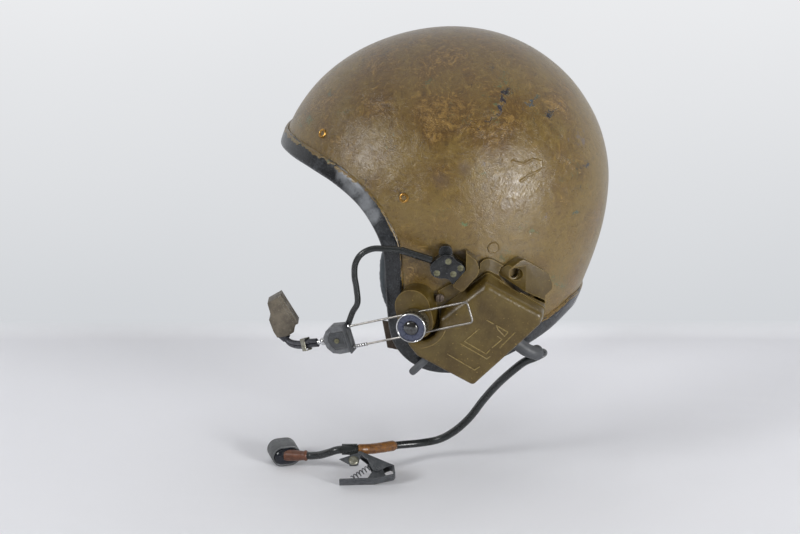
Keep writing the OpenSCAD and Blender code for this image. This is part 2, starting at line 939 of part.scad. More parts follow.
module box_screws() {
  color([0.5, 0.48, 0.42]) {
    for (s = box_screw_spots)
      on_skin(s[0], s[1], 0)
        translate([0, 0, -shell_t - facet_gap - box_screw_in]) {
          cylinder(r = box_screw_r, h = shell_t + facet_gap + box_screw_in + box_screw_out,
            $fn = 24);
          cylinder(r = box_screw_head_r, h = box_screw_in, $fn = 32);
        }
  }
}

module lug_screw() {
  color([0.3, 0.28, 0.24])
    on_skin(lug_spot[0], lug_spot[1], 0) {
      translate([0, 0, -shell_t - 1])
        cylinder(r = box_screw_r, h = shell_t + 1 + lug_top + 0.6, $fn = 24);
      translate([0, 0, lug_top + 0.3])
        difference() {
          cylinder(r = lug_head_r, h = 2.2, $fn = 32);
          translate([-4, -0.45, 1.2])
            cube([8, 0.9, 2]);
        }
    }
}

// Rear bracket: block with a ramp that faces forward and a fixing hole in the ramp.
bracket_at = [0, 69.2, -9.6];
bracket_yaw = 22;
bracket_x = skin_x(bracket_at[1], bracket_at[2], 0) + bracket_h - 2.5;
bracket_pts = [
  [-22.5, 7], [-21.5, 9.4], [-9.6, 16.6], [-7, 17], [-3.2, 15.3], [15, 3.6], [18.4, -5],
  [18.5, -9.8], [12.6, -14.6], [11.8, -27], [-8, -17.5], [-21.5, -8]
];
bracket_room_pts = [
  [-24, 6.6], [-22.4, 10.6], [-9.6, 18.4], [-6, 18.6], [16.6, 4.4], [20, -5.4],
  [20, -11], [14, -15.4], [13.2, -28.4], [-8.6, -18.8], [-23, -9]
];
ramp_u = -5;
ramp_angle = 30;
hole_at = [-12, 5];
// flat seat sunk around the hole
seat_z = -6.7;
seat_w = 1;
hole_len = 3.8;

module bracket_frame() {
  on_side([bracket_x, bracket_at[1], bracket_at[2]], bracket_yaw)
    children();
}

module rear_bracket() {
  color([0.38, 0.33, 0.2])
    difference() {
      bracket_frame()
        difference() {
          translate([0, 0, -34])
            linear_extrude(height = 34)
              polygon(bracket_pts);
          translate([ramp_u, 0, 0])
            rotate([0, -ramp_angle, 0])
              translate([-40, -14, 0])
                cube([40, 26, 30]);
          translate([hole_at[0], hole_at[1], -40])
            cylinder(r = bracket_hole_r, h = 50, $fn = 40);
          translate([hole_at[0], hole_at[1], seat_z])
            cylinder(r = bracket_hole_r + seat_w, h = 20, $fn = 40);
          translate([hole_at[0], hole_at[1], seat_z - hole_len - 30])
            cylinder(r = bracket_hole_r + seat_w, h = 30, $fn = 40);
        }
      side_patch(soft_gap, 50);
      box_frame()
        translate([0, 0, -base_deep])
          linear_extrude(height = base_deep + 5)
            foot_outline(1);
      on_skin(box_screw_spots[2][0], box_screw_spots[2][1], 0)
        cylinder(r = box_screw_r + fit, h = 2 * box_screw_out + 2, center = true, $fn = 24);
    }
}

// Rubber elbow of the main lead, out of the box's lower rear wall.
elbow_root_at = box_at + [-23.7, 27.5, -18.5];
elbow_pts = [
  elbow_root_at, elbow_root_at + [0, 5.5, -6], elbow_root_at + [0, 12, -11],
  elbow_root_at + [-1.5, 18, -14], elbow_root_at + [-5.5, 22, -15.5]
];
elbow_lean = 137;

module elbow_root(r, from, len) {
  translate(elbow_pts[0])
    rotate([-elbow_lean, 0, 0])
      translate([0, 0, from])
        cylinder(r = r, h = len, $fn = 32);
}

module lead_elbow() {
  color([0.33, 0.33, 0.33])
    cord(elbow_pts, elbow_r, 4, 12);
}

// Main lead as photographed, from the elbow to the connector's sleeve: the part that
// hangs from the elbow, and the part that lies in front.
lead_hang = [
  [0, 0, 0], [-4, 4, -1.5], [-9.5, 4.5, -4.5], [-13.5, -1.5, -9.5], [-16.5, -10.5, -15],
  [-22.5, -23.5, -29], [-32.5, -32.5, -43], [-42.5, -41.5, -59], [-52.5, -51.5, -78]
];
lead_lie = [
  [46, 13, -168], [40, 0, -178.5], [40, -16, -182], [47, -36, -181], [56, -50, -179.3],
  [63, -58, -177.3], [66.8, -65, -176], [67.6, -72, -175.8], [67.6, -80, -175.8],
  [67, -87, -176.8], [64, -94, -180.5], [58.5, -101.5, -185], [55.1, -108, -187.1],
  [54, -112, -187.5]
];
lead_pts = concat([for (p = lead_hang) elbow_pts[4] + p], lead_lie);

module main_lead() {
  color([0.17, 0.18, 0.2])
    cord(lead_pts, lead_r, 3, 10);
}

// Microphone lead: helmet part up to the joint, boom part beyond it.
function boom_point(p) =
  let (
    x = p[0] * cos(boom_slope) - p[1] * sin(boom_slope),
    y = p[0] * sin(boom_slope) + p[1] * cos(boom_slope)
  )
  pivot + [
    -sin(boom_yaw) * x + cos(boom_yaw) * p[2], cos(boom_yaw) * x + sin(boom_yaw) * p[2], y
  ];

lead_in = [-wire_front - 1, 6, -4.4];
plug_at = [plug_x, plug_y, plug_z];
boot_root = plug_at + [-4.8, -12.4, 5.9];
// lead above the joint, from the end of the plug's boot
mic_lead_drop = [
  [-4.8, -36.3, 14], [-4.8, -46.6, 14.9], [-5.3, -57.8, 14.8], [-5.8, -66.6, 10.3],
  [-6.8, -71.3, 2.1], [-7.8, -72, -8.1], [-8.5, -70.6, -18.4], [-9, -69.9, -30.5]
];
mic_lead_pts = concat(
  [for (p = mic_lead_drop) plug_at + p],
  [boom_point(lead_in + [8.5, 11.5, 0]), boom_point(lead_in)]
);
lead_joint = 5;

module mic_lead_upper() {
  color([0.15, 0.16, 0.17])
    cord(mic_lead_pts, mic_lead_r, 4, 8, 0, lead_joint);
}

module mic_lead_lower() {
  color([0.15, 0.16, 0.17])
    cord(mic_lead_pts, mic_lead_r, 4, 8, lead_joint, len(mic_lead_pts) - 1);
}

module mic_plug_boot() {
  n = 6;
  a = boot_root;
  b = mic_lead_pts[0];
  d = unit(b - a);
  u = unit(cross(d, [0, 0, 1]));
  v = cross(d, u);
  color([0.13, 0.14, 0.15])
    ring_solid([
      for (i = [0 : n])
        [for (k = [0 : 11])
          a + (b - a) * i / n
          + (mic_lead_r + 0.6 - 0.3 * i / n + 0.2 * (i % 2))
            * (u * cos(30 * k) + v * sin(30 * k))]
    ]);
}

module blank_boot() {
  color([0.25, 0.27, 0.28])
    blank_line(blank_r, 0.5, blank_len);
}

// Boom pivot with clamp and knob, and the boom itself.
washer_t = 1.1;
clamp_r = 11.2;
clamp_in = 3.2;
clamp_out = 2.9;
knob_from = clamp_out + 0.2;

module pivot_post() {
  color([0.55, 0.55, 0.55])
    pivot_frame()
      translate([0, 0, -15])
        cylinder(r = post_r, h = 15 + knob_from + 4, $fn = 32);
}

module friction_washer() {
  color([0.5, 0.47, 0.4])
    pivot_frame()
      translate([0, 0, -lobe_top + 0.1])
        difference() {
          cylinder(r = 8.5, h = washer_t, $fn = 40);
          translate([0, 0, -1])
            cylinder(r = post_r + 0.3, h = 4, $fn = 32);
        }
}

module wire_grooves() {
  for (y = [-0.5, 0.5])
    translate([-20, y * wire_gap, 0])
      rotate([0, 90, 0])
        cylinder(r = wire_r + fit, h = 40, $fn = 20);
}

module boom_clamp() {
  color([0.42, 0.42, 0.43])
    boom_frame()
      difference() {
        translate([0, 0, -clamp_in])
          cylinder(r = clamp_r, h = clamp_in + clamp_out, $fn = 48);
        translate([0, 0, -clamp_in - 1])
          cylinder(r = post_r + fit, h = clamp_in + clamp_out + 2, $fn = 32);
        wire_grooves();
        for (y = [-0.5, 0.5])
          translate([-20, y * wire_gap - 0.25, 0])
            cube([40, 0.5, 6]);
      }
}

rib_count = 24;

module knob() {
  color([0.36, 0.35, 0.3])
    pivot_frame()
      translate([0, 0, knob_from])
        difference() {
          cylinder(r = knob_r, h = knob_h - 1.6, $fn = 48);
          translate([0, 0, -1])
            cylinder(r = post_r + fit, h = 5.2, $fn = 32);
          for (i = [0 : rib_count - 1])
            rotate([0, 0, 360 * i / rib_count])
              translate([knob_r + 0.35, 0, -1])
                cylinder(r = 0.8, h = knob_h, $fn = 10);
        }
}

face_ring_w = 1.1;
dome_r = 5.8;

module knob_ring() {
  color([0.8, 0.8, 0.8])
    pivot_frame()
      translate([0, 0, knob_from + knob_h - 1.6])
        difference() {
          cylinder(r = knob_r, h = 1.9, $fn = 64);
          translate([0, 0, -1])
            cylinder(r = knob_r - face_ring_w, h = 4, $fn = 64);
        }
}

module knob_face() {
  color([0.2, 0.22, 0.3])
    pivot_frame()
      translate([0, 0, knob_from + knob_h - 1.6])
        difference() {
          cylinder(r = knob_r - face_ring_w, h = 1.4, $fn = 64);
          translate([0, 0, 0.5])
            cylinder(r = dome_r, h = 4, $fn = 40);
        }
}

module knob_dome() {
  color([0.75, 0.76, 0.78])
    pivot_frame()
      translate([0, 0, knob_from + knob_h - 1.1])
        rotate_extrude($fn = 40)
          polygon(concat(
            [[0, 0], [dome_r - 0.05, 0], [dome_r - 0.05, 0.9]],
            [for (a = [10 : 10 : 90]) [(dome_r - 0.05) * cos(a), 0.9 + 2.4 * sin(a)]]
          ));
}

bend_r = 2.6;

module boom_wire() {
  half = wire_gap / 2;
  long = wire_front + 9 + wire_rear - bend_r;
  color([0.72, 0.72, 0.72])
    boom_frame() {
      for (y = [-half, half])
        translate([-wire_front - 9, y, 0])
          rotate([0, 90, 0])
            cylinder(r = wire_r, h = long, $fn = 20);
      for (y = [-1, 1])
        translate([wire_rear - bend_r, y * (half - bend_r), 0])
          mirror([0, y < 0 ? 1 : 0, 0])
            rotate_extrude(angle = 90, $fn = 40)
              translate([bend_r, 0])
                circle(r = wire_r, $fn = 20);
      translate([wire_rear, bend_r - half, 0])
        rotate([-90, 0, 0])
          cylinder(r = wire_r, h = wire_gap - 2 * bend_r, $fn = 20);
    }
}

block_pts = [
  [0, 11], [-10.5, 12.2], [-15, 9.8], [-18.3, 5.6], [-19, 1], [-18.2, -4], [-14.5, -9],
  [-9, -10.8], [0, -11]
];
cap_pts = [
  [-1.2, 7.4], [-12.5, 7.8], [-15.4, 4.6], [-16.2, 1], [-15.4, -3], [-12, -7.4],
  [-1.2, -7.4]
];
ball_r = 3;
ball_at = [-wire_front - 21.4, 0.8, 0];

module block_place() {
  boom_frame()
    translate([-wire_front, 0, 0])
      children();
}

module block_holes() {
  for (y = [-0.5, 0.5])
    translate([-12, y * wire_gap, 0])
      rotate([0, 90, 0])
        cylinder(r = wire_r + fit, h = 30, $fn = 20);
  translate([lead_in[0] + wire_front, lead_in[1], lead_in[2]])
    rotate([0, 0, atan2(11.5, 8.5)])
      rotate([0, 90, 0])
        translate([0, 0, -0.3])
          cylinder(r = mic_lead_r + soft_gap, h = 30, $fn = 24);
}

module boom_block() {
  color([0.33, 0.33, 0.34])
    difference() {
      block_place()
        difference() {
          translate([0, 0, -block_t / 2 - 0.5])
            linear_extrude(height = block_t)
              polygon(block_pts);
          translate([0, 0, block_t / 2 - 1])
            linear_extrude(height = 2)
              difference() {
                polygon([for (p = cap_pts) [p[0] - 0.6 * sign(p[0] + 8), p[1] + 0.6 * sign(p[1])]]);
                polygon(cap_pts);
              }
          block_holes();
          translate([-8, 0.5, -20])
            cylinder(r = 1.3, h = 40, $fn = 20);
        }
      boom_frame()
        translate(ball_at)
          sphere(r = ball_r + fit, $fn = 32);
    }
}

module block_flange() {
  color([0.2, 0.2, 0.21])
    block_place()
      difference() {
        translate([0.05, -12, -block_t / 2 - 1])
          cube([1.3, 24, block_t + 1.4]);
        block_holes();
      }
}

module block_screw() {
  color([0.6, 0.6, 0.6])
    block_place()
      translate([-8, 0.5, 0])
        difference() {
          union() {
            translate([0, 0, -3])
              cylinder(r = 1.2, h = 3 + block_t / 2 + 0.2, $fn = 20);
            translate([0, 0, block_t / 2 + 0.2])
              cylinder(r = 2, h = 0.9, $fn = 24);
          }
          translate([-3, -0.25, block_t / 2 + 0.7])
            cube([6, 0.5, 2]);
        }
}

module wire_collars() {
  color([0.75, 0.75, 0.75])
    block_place() {
      translate([1.45, wire_gap / 2, 0])
        rotate([0, 90, 0])
          difference() {
            cylinder(r = 1.7, h = 2.6, $fn = 6);
            translate([0, 0, -1])
              cylinder(r = wire_r + 0.02, h = 6, $fn = 20);
          }
      for (i = [0 : 5])
        translate([1.45 + 2.1 * i, -wire_gap / 2, 0])
          rotate([0, 90, 0])
            difference() {
              cylinder(r = 1.35, h = 1.5, $fn = 20);
              translate([0, 0, -1])
                cylinder(r = wire_r + 0.02, h = 4, $fn = 20);
            }
    }
}

module mic_ball() {
  color([0.75, 0.75, 0.76])
    boom_frame()
      translate(ball_at)
        union() {
          sphere(r = ball_r, $fn = 32);
          translate([-4.6, 0, 0])
            rotate([0, 90, 0])
              cylinder(r = 1.8, h = 4, $fn = 24);
        }
}

// Microphone: two rods from the ball to the body, side by side.
stem_start = boom_point(ball_at + [-5.2, 0, 0]);
stem_mid = [
  stem_start, [114.8, -103.5, -63.2], [110, -108.5, -66], [104, -113.8, -68.8],
  [97.5, -119.2, -70.5], [91.8, -123.4, -70.6], [88.2, -126.2, -68.3]
];
stem_up = [
  [0.09, -0.32, 0.94], [0.03, -0.43, 0.9], [0, -0.47, 0.88], [0.04, -0.43, 0.9],
  [0.15, -0.35, 0.93], [0.38, -0.16, 0.91], [0.78, 0.47, 0.42]
];

module mic_stem() {
  color([0.2, 0.2, 0.24])
    for (s = [-1, 1])
      cord([for (i = [0 : 6]) stem_mid[i] + s * (rod_r + fit) * stem_up[i]], rod_r, 4, 10);
}

module mic_clip_band() {
  p = stem_mid[2];
  d = unit(stem_mid[3] - stem_mid[1]);
  yaw = atan2(d[1], d[0]);
  pitch = -asin(d[2]);
  color([0.62, 0.62, 0.56])
    translate(p)
      rotate([0, pitch, yaw])
        translate([-3, 0, 0])
          difference() {
            translate([0.5, -rod_r - 1.4, -2 * rod_r - 1.5])
              cube([5, 2 * rod_r + 2.8, 4 * rod_r + 3]);
            translate([-1, -rod_r - 0.8, -2 * rod_r - 0.9])
              cube([8, 2 * rod_r + 1.6, 4 * rod_r + 1.8]);
          }
}

mic_at = [85, -128, -48];
mic_lean = 30;
// outline: across in millimetres, up as a share of the length
mic_pts = [
  for (p = [
    [5, 0.487], [-5.2, 0.481], [-8.5, 0.103], [-11.4, 0.074], [-13.6, -0.274],
    [-13.6, -0.465], [-5.2, -0.561], [0.7, -0.545], [3, -0.452], [5, -0.4]
  ]) [p[0], p[1] * mic_l]
];

module mic_frame() {
  on_side(mic_at)
    rotate([0, 0, mic_lean])
      children();
}

module mic_body() {
  color([0.44, 0.43, 0.4])
    mic_frame()
      translate([0, 0, -mic_w / 2])
        linear_extrude(height = mic_w)
          polygon(mic_pts);
}

module mic_plate() {
  color([0.4, 0.4, 0.39])
    mic_frame()
      difference() {
        translate([5.1, -0.4 * mic_l, -mic_w / 2 + 0.4])
          cube([2.2, 0.885 * mic_l, mic_w - 0.8]);
        for (a = [0 : 60 : 300])
          translate([4, 1 + 4.5 * cos(a), 4.5 * sin(a)])
            rotate([0, 90, 0])
              cylinder(r = 1, h = 5, $fn = 20);
      }
}

// rubber boot under the body, where the rods go in
boot_at = [-9.6, -0.44 * mic_l, 3];
boot_len = 6.5;
boot_lean = 12;

module mic_boot() {
  color([0.3, 0.31, 0.32])
    mic_frame()
      difference() {
        translate(boot_at)
          rotate([90, 0, boot_lean])
            cylinder(r1 = 2 * rod_r + 0.8, r2 = 2 * rod_r + 0.2, h = boot_len, $fn = 32);
        translate([0, 0, -mic_w / 2 - 1])
          linear_extrude(height = mic_w + 2)
            polygon(mic_pts);
      }
}

// Connector at the end of the main lead, on its side.
con_at = [49, -130, -190.5];
con_yaw = 17;
con_wall = 1.7;

module con_frame() {
  on_side(con_at, con_yaw)
    children();
}

function flat_round(w, h, n = 12) = [
  for (s = [1, -1], i = [0 : n])
    let (a = s > 0 ? -90 + 180 * i / n : 90 + 180 * i / n)
    [s * (w - h) / 2 + h / 2 * cos(a), h / 2 * sin(a)]
];

module connector_shroud() {
  color([0.42, 0.43, 0.45])
    con_frame()
      difference() {
        translate([0, 0, -con_d])
          linear_extrude(height = con_d)
            polygon(flat_round(con_w, con_h));
        translate([0, 0, -con_d - 1])
          linear_extrude(height = con_d + 2)
            polygon(flat_round(con_w - 2 * con_wall, con_h - 2 * con_wall));
      }
}

sleeve_a = [54, -112, -187.5];
sleeve_b = [49.5, -128, -189];

module sleeve_line(r, from, len) {
  d = unit(sleeve_b - sleeve_a);
  translate(sleeve_a)
    rotate([0, 90 - asin(d[2]), atan2(d[1], d[0])])
      translate([0, 0, from])
        cylinder(r = r, h = len, $fn = 32);
}

sleeve_len = norm(sleeve_b - sleeve_a);

module connector_body() {
  color([0.16, 0.17, 0.22])
    difference() {
      con_frame()
        translate([0, 0, -con_d * 0.7])
          linear_extrude(height = con_d * 0.7 - 1)
            polygon(flat_round(con_w - 2 * con_wall - 0.2, con_h - 2 * con_wall - 0.2));
      sleeve_line(lead_r + 1.2 + soft_gap, -5, sleeve_len + 10);
    }
}

module connector_pins() {
  color([0.78, 0.66, 0.35])
    con_frame()
      for (x = [-6, -2, 2, 6])
        translate([x, 0, -con_d + 0.6])
          cylinder(r = 0.8, h = con_d * 0.3 - 0.6, $fn = 16);
}

module connector_sleeve() {
  color([0.42, 0.26, 0.18])
    sleeve_line(lead_r + 1.2, 0.1, sleeve_len + 3);
}

// Clothing clip on the lead.
clip_at = [78, -65, -184.5];
clip_pitch = -50;
pin_at = [13, -6];

module clip_frame() {
  on_side(clip_at, 0, clip_pitch)
    children();
}

rivet_at = [-7.2, 1];
band_at = [-10.8, 13.6];
band_len = 13;
band_w = 1.1;

module clip_band() {
  color([0.16, 0.17, 0.18])
    clip_frame()
      difference() {
        union() {
          translate([band_at[0] - band_len / 2, band_at[1], 0])
            rotate([0, 90, 0])
              cylinder(r = lead_r + band_w + soft_gap, h = band_len, $fn = 32);
          translate([rivet_at[0] - 3.4, rivet_at[1] - 4, 2.2])
            cube([6, 14.5, 1.2]);
        }
        translate([band_at[0] - band_len, band_at[1], 0])
          rotate([0, 90, 0])
            cylinder(r = lead_r + soft_gap, h = 2 * band_len, $fn = 32);
        translate([rivet_at[0], rivet_at[1], 0])
          cylinder(r = 1.6, h = 10, $fn = 24);
      }
}

module clip_rivet() {
  color([0.6, 0.6, 0.55])
    clip_frame()
      translate([rivet_at[0], rivet_at[1], 0]) {
        translate([0, 0, 0.9])
          cylinder(r = 1.5, h = 4, $fn = 24);
        translate([0, 0, 4.75])
          cylinder(r1 = 4.4, r2 = 3.2, h = 1.2, $fn = 32);
      }
}

half_w = clip_w / 2;

// upper arm: outer plate, two cheeks at the pin, and the link plate at the rivet
module clip_arm() {
  color([0.2, 0.2, 0.2])
    clip_frame()
      difference() {
        union() {
          translate([0, 0, -half_w])
            linear_extrude(height = clip_w)
              polygon([
                [-4, 8.4], [-2, 9.4], [26.4, -3.6], [27.4, -10.5], [26.2, -10.5],
                [25.2, -4.4], [-2.4, 8.2], [-3.4, 7.4]
              ]);
          for (z = [-half_w, half_w - clip_t])
            translate([0, 0, z])
              linear_extrude(height = clip_t)
                polygon([[-3, 8], [-1.6, 8.7], [24, -3.4], [20, -5], [13, -9], [9, -8], [4, 2]]);
          translate([0, 0, 3.5])
            linear_extrude(height = clip_t)
              polygon([[-19.3, 2.4], [-11, 5.4], [-3.4, 8], [-1, 8.4], [-3.4, -3], [-10, -3]]);
        }
        translate([pin_at[0], pin_at[1], -20])
          cylinder(r = 1.1, h = 40, $fn = 20);
        translate([rivet_at[0], rivet_at[1], -20])
          cylinder(r = 1.6, h = 40, $fn = 24);
      }
}

module clip_pin() {
  color([0.5, 0.5, 0.5])
    clip_frame()
      translate([pin_at[0], pin_at[1], -half_w - 0.4])
        cylinder(r = 1, h = clip_w + 0.8, $fn = 24);
}

module clip_jaw() {
  inner = half_w - clip_t - 0.15;
  color([0.27, 0.28, 0.3])
    clip_frame()
      difference() {
        union() {
          translate([0, 0, -half_w])
            linear_extrude(height = clip_w)
              polygon([
                [-19, -17], [10, -16.2], [26, -12.4], [27, -11], [26.4, -11], [25.6, -11.6],
                [10, -15], [-18.6, -15.9]
              ]);
          for (z = [-inner, inner - clip_t])
            translate([0, 0, z])
              linear_extrude(height = clip_t)
                polygon([[4, -15.6], [20, -13.2], [16, -5], [13, -3.4], [10.5, -5]]);
          translate([-10.4, -15.8, 0])
            rotate([-90, 0, 0])
              cylinder(r = 1, h = 2, $fn = 16);
        }
        translate([pin_at[0], pin_at[1], -20])
          cylinder(r = 1.1, h = 40, $fn = 20);
      }
}

spring_a = [-8.2, -13.2];
spring_b = [10.4, 0.6];
spring_turns = 8;
spring_wire_r = 0.45;
spring_along = unit([spring_b[0] - spring_a[0], spring_b[1] - spring_a[1], 0]);
spring_across = [-spring_along[1], spring_along[0], 0];
spring_steps = spring_turns * 8;

// middle of the spring's wire at step i, 8 steps to a turn
function spring_point(i) =
  [spring_a[0], spring_a[1], 0]
  + spring_along * norm(spring_b - spring_a) * i / spring_steps
  + (clip_spring_r - spring_wire_r) * (spring_across * cos(45 * i) + [0, 0, 1] * sin(45 * i));

// least room between one turn of the spring and the next
spring_self_gap = min([
  for (i = [0 : spring_steps - 5], j = [i + 5 : spring_steps])
    norm(spring_point(i) - spring_point(j)) - 2 * spring_wire_r
]);
echo(spring_self_gap = spring_self_gap);

module clip_spring() {
  color([0.35, 0.35, 0.35])
    clip_frame()
      ring_solid([
        for (i = [0 : spring_steps])
          let (
            t = unit(spring_point(min(spring_steps, i + 1)) - spring_point(max(0, i - 1))),
            o = unit(spring_across * cos(45 * i) + [0, 0, 1] * sin(45 * i)),
            b = cross(t, o)
          )
          [for (a = [0 : 60 : 300])
            spring_point(i) + spring_wire_r * (o * cos(a) + b * sin(a))]
      ]);
}

shell();
shell_rivets();
edge_trim();
impact_liner();
crown_pad();
brow_pad();
nape_pad();
ear_cup();  // ear_cup_left
mirror([1, 0, 0]) ear_cup();  // ear_cup_right
ear_cushion();  // ear_cushion_left
mirror([1, 0, 0]) ear_cushion();  // ear_cushion_right
earphone();  // earphone_left
mirror([1, 0, 0]) earphone();  // earphone_right
ear_backing();  // ear_backing_left
mirror([1, 0, 0]) ear_backing();  // ear_backing_right
chin_strap();  // chin_strap_left
mirror([1, 0, 0]) chin_strap();  // chin_strap_right
housing_base();
housing_cover();
cover_gasket();
box_screws();
lug_screw();
rear_bracket();
socket_block();
mic_plug_body();
mic_plug_screws();
mic_plug_boot();
lead_elbow();
blank_boot();
pivot_post();
friction_washer();
boom_clamp();
knob();
knob_ring();
knob_face();
knob_dome();
boom_wire();
boom_block();
block_flange();
block_screw();
wire_collars();
mic_ball();
mic_stem();
mic_clip_band();
mic_boot();
mic_body();
mic_plate();
mic_lead_upper();
mic_lead_lower();
main_lead();
clip_band();
clip_rivet();
clip_arm();
clip_pin();
clip_jaw();
clip_spring();
connector_shroud();
connector_body();
connector_pins();
connector_sleeve();
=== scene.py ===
import json
import math

import bmesh
import bpy
from mathutils import Matrix, Vector, noise

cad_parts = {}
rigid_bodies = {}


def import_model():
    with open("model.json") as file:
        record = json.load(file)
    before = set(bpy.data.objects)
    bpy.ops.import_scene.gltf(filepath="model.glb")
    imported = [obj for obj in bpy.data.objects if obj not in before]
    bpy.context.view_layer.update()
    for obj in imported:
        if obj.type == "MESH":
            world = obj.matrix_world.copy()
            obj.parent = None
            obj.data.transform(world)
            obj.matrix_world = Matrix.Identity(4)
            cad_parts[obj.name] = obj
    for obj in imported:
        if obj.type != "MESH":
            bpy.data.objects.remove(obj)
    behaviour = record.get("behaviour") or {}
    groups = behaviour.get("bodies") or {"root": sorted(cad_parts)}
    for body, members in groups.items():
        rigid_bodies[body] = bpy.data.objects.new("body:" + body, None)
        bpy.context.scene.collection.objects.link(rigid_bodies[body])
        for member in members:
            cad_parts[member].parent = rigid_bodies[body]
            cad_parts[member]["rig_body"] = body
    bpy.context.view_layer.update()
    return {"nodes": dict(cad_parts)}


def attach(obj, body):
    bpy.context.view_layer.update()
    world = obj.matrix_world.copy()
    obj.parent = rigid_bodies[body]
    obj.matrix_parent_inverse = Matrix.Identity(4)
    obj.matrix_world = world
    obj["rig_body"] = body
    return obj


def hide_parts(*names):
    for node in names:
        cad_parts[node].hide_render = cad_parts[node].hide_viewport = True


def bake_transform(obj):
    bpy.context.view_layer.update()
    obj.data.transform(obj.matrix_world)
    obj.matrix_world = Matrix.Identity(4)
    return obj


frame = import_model()
NODES = frame["nodes"]
MM = 0.001

# ---------------------------------------------------------------- camera and light

scene = bpy.context.scene
scene.view_settings.view_transform = "Standard"
FLOOR = -0.1997  # height of the table, in metres
CAMERA_AT = (1.4375, -0.0337, 0.4299)

camera = bpy.data.objects.new("camera", bpy.data.cameras.new("camera"))
scene.collection.objects.link(camera)
scene.camera = camera
camera.data.lens = 80.07
camera.data.sensor_width = 36
camera.data.clip_start = 0.05
camera.data.clip_end = 30
look_down = math.radians(18)
camera.matrix_world = Matrix((
    (0, -math.sin(look_down), math.cos(look_down), CAMERA_AT[0]),
    (1, 0, 0, CAMERA_AT[1]),
    (0, math.cos(look_down), math.sin(look_down), CAMERA_AT[2]),
    (0, 0, 0, 1),
))


def softbox(name, place, aim, size, watts):
    """A soft studio lamp that looks at a point."""
    data = bpy.data.lights.new(name, "AREA")
    data.shape = "RECTANGLE"
    data.size, data.size_y = size
    data.energy = watts
    lamp = bpy.data.objects.new(name, data)
    scene.collection.objects.link(lamp)
    lamp.location = place
    lamp.rotation_euler = (Vector(aim) - Vector(place)).to_track_quat("-Z", "Y").to_euler()


softbox("front_softbox", (0.95, -1.25, 0.75), (0.05, -0.03, 0.05), (0.36, 0.5), 11.5)
softbox("rear_softbox", (1.325, 1.147, 0.288), (0.1, 0.05, 0.06), (0.42, 0.5), 22)
softbox("overhead_panel", (0.1, 0.0, 1.7), (0, 0, 0), (1.6, 1.6), 4.5)

# ---------------------------------------------------------------- colours and nodes

# in mm: grit of the wear along edges, how far the outlines of the shell's larger chips are
# shaken, how deep those chips reach across the side, and the width of the shell's unevenness
WORN_GRIT_MM = 2.2
SHAKE_MM = 14
CHIP_DEEP_MM = 14
UNEVEN_MM = 34


def ink(code):
    """An sRGB hex colour as linear RGBA."""
    parts = [int(code[i:i + 2], 16) / 255 for i in (0, 2, 4)]
    return tuple(c / 12.92 if c <= 0.04045 else ((c + 0.055) / 1.055) ** 2.4 for c in parts) + (1,)


def per(size_mm):
    """Texture scale whose features are that many millimetres across."""
    return 1000 / size_mm


def give(tree, value, socket):
    """Links an output to a socket, or writes a plain value into it."""
    if isinstance(value, bpy.types.NodeSocket):
        tree.links.new(value, socket)
    else:
        socket.default_value = value


def add(tree, kind, inputs, out=0, stops=None, **settings):
    """Adds one node with its settings, values and links, and gives one of its outputs; stops
    fill a colour ramp."""
    made = tree.nodes.new("ShaderNode" + kind)
    for key, value in settings.items():
        setattr(made, key, value)
    for key, value in inputs.items():
        give(tree, value, made.inputs[key])
    if stops:
        ramp = made.color_ramp
        while len(ramp.elements) < len(stops):
            ramp.elements.new(0.5)
        for element, (at, code) in zip(ramp.elements, stops):
            element.position = at
            element.color = ink(code)
    return made.outputs[out]


def new_material(name, **sockets):
    """An empty material with a Principled shader whose sockets take plain values."""
    made = bpy.data.materials.new(name)
    made.use_nodes = True
    tree = made.node_tree
    shader = tree.nodes["Principled BSDF"]
    for key, value in sockets.items():
        shader.inputs[key.replace("_", " ")].default_value = value
    return made, tree, shader


def lay_over(tree, colour, code, pattern, low, high, most=1.0):
    """Lays a hex colour over a colour where a pattern goes from low to high."""
    share = add(tree, "MapRange", {0: pattern, 1: low, 2: high, 3: 0, 4: most})
    return add(tree, "Mix", {0: share, 6: colour, 7: ink(code)}, 2, data_type="RGBA")


def set_surface(tree, shader, colour, gloss, height, depth_mm, strength=1.0):
    """Gives the shader its colour, its roughness and the relief of a height pattern."""
    relief = add(tree, "Bump", {
        "Distance": depth_mm * MM, "Strength": strength, "Height": height})
    for socket, value in (("Base Color", colour), ("Roughness", gloss), ("Normal", relief)):
        give(tree, value, shader.inputs[socket])


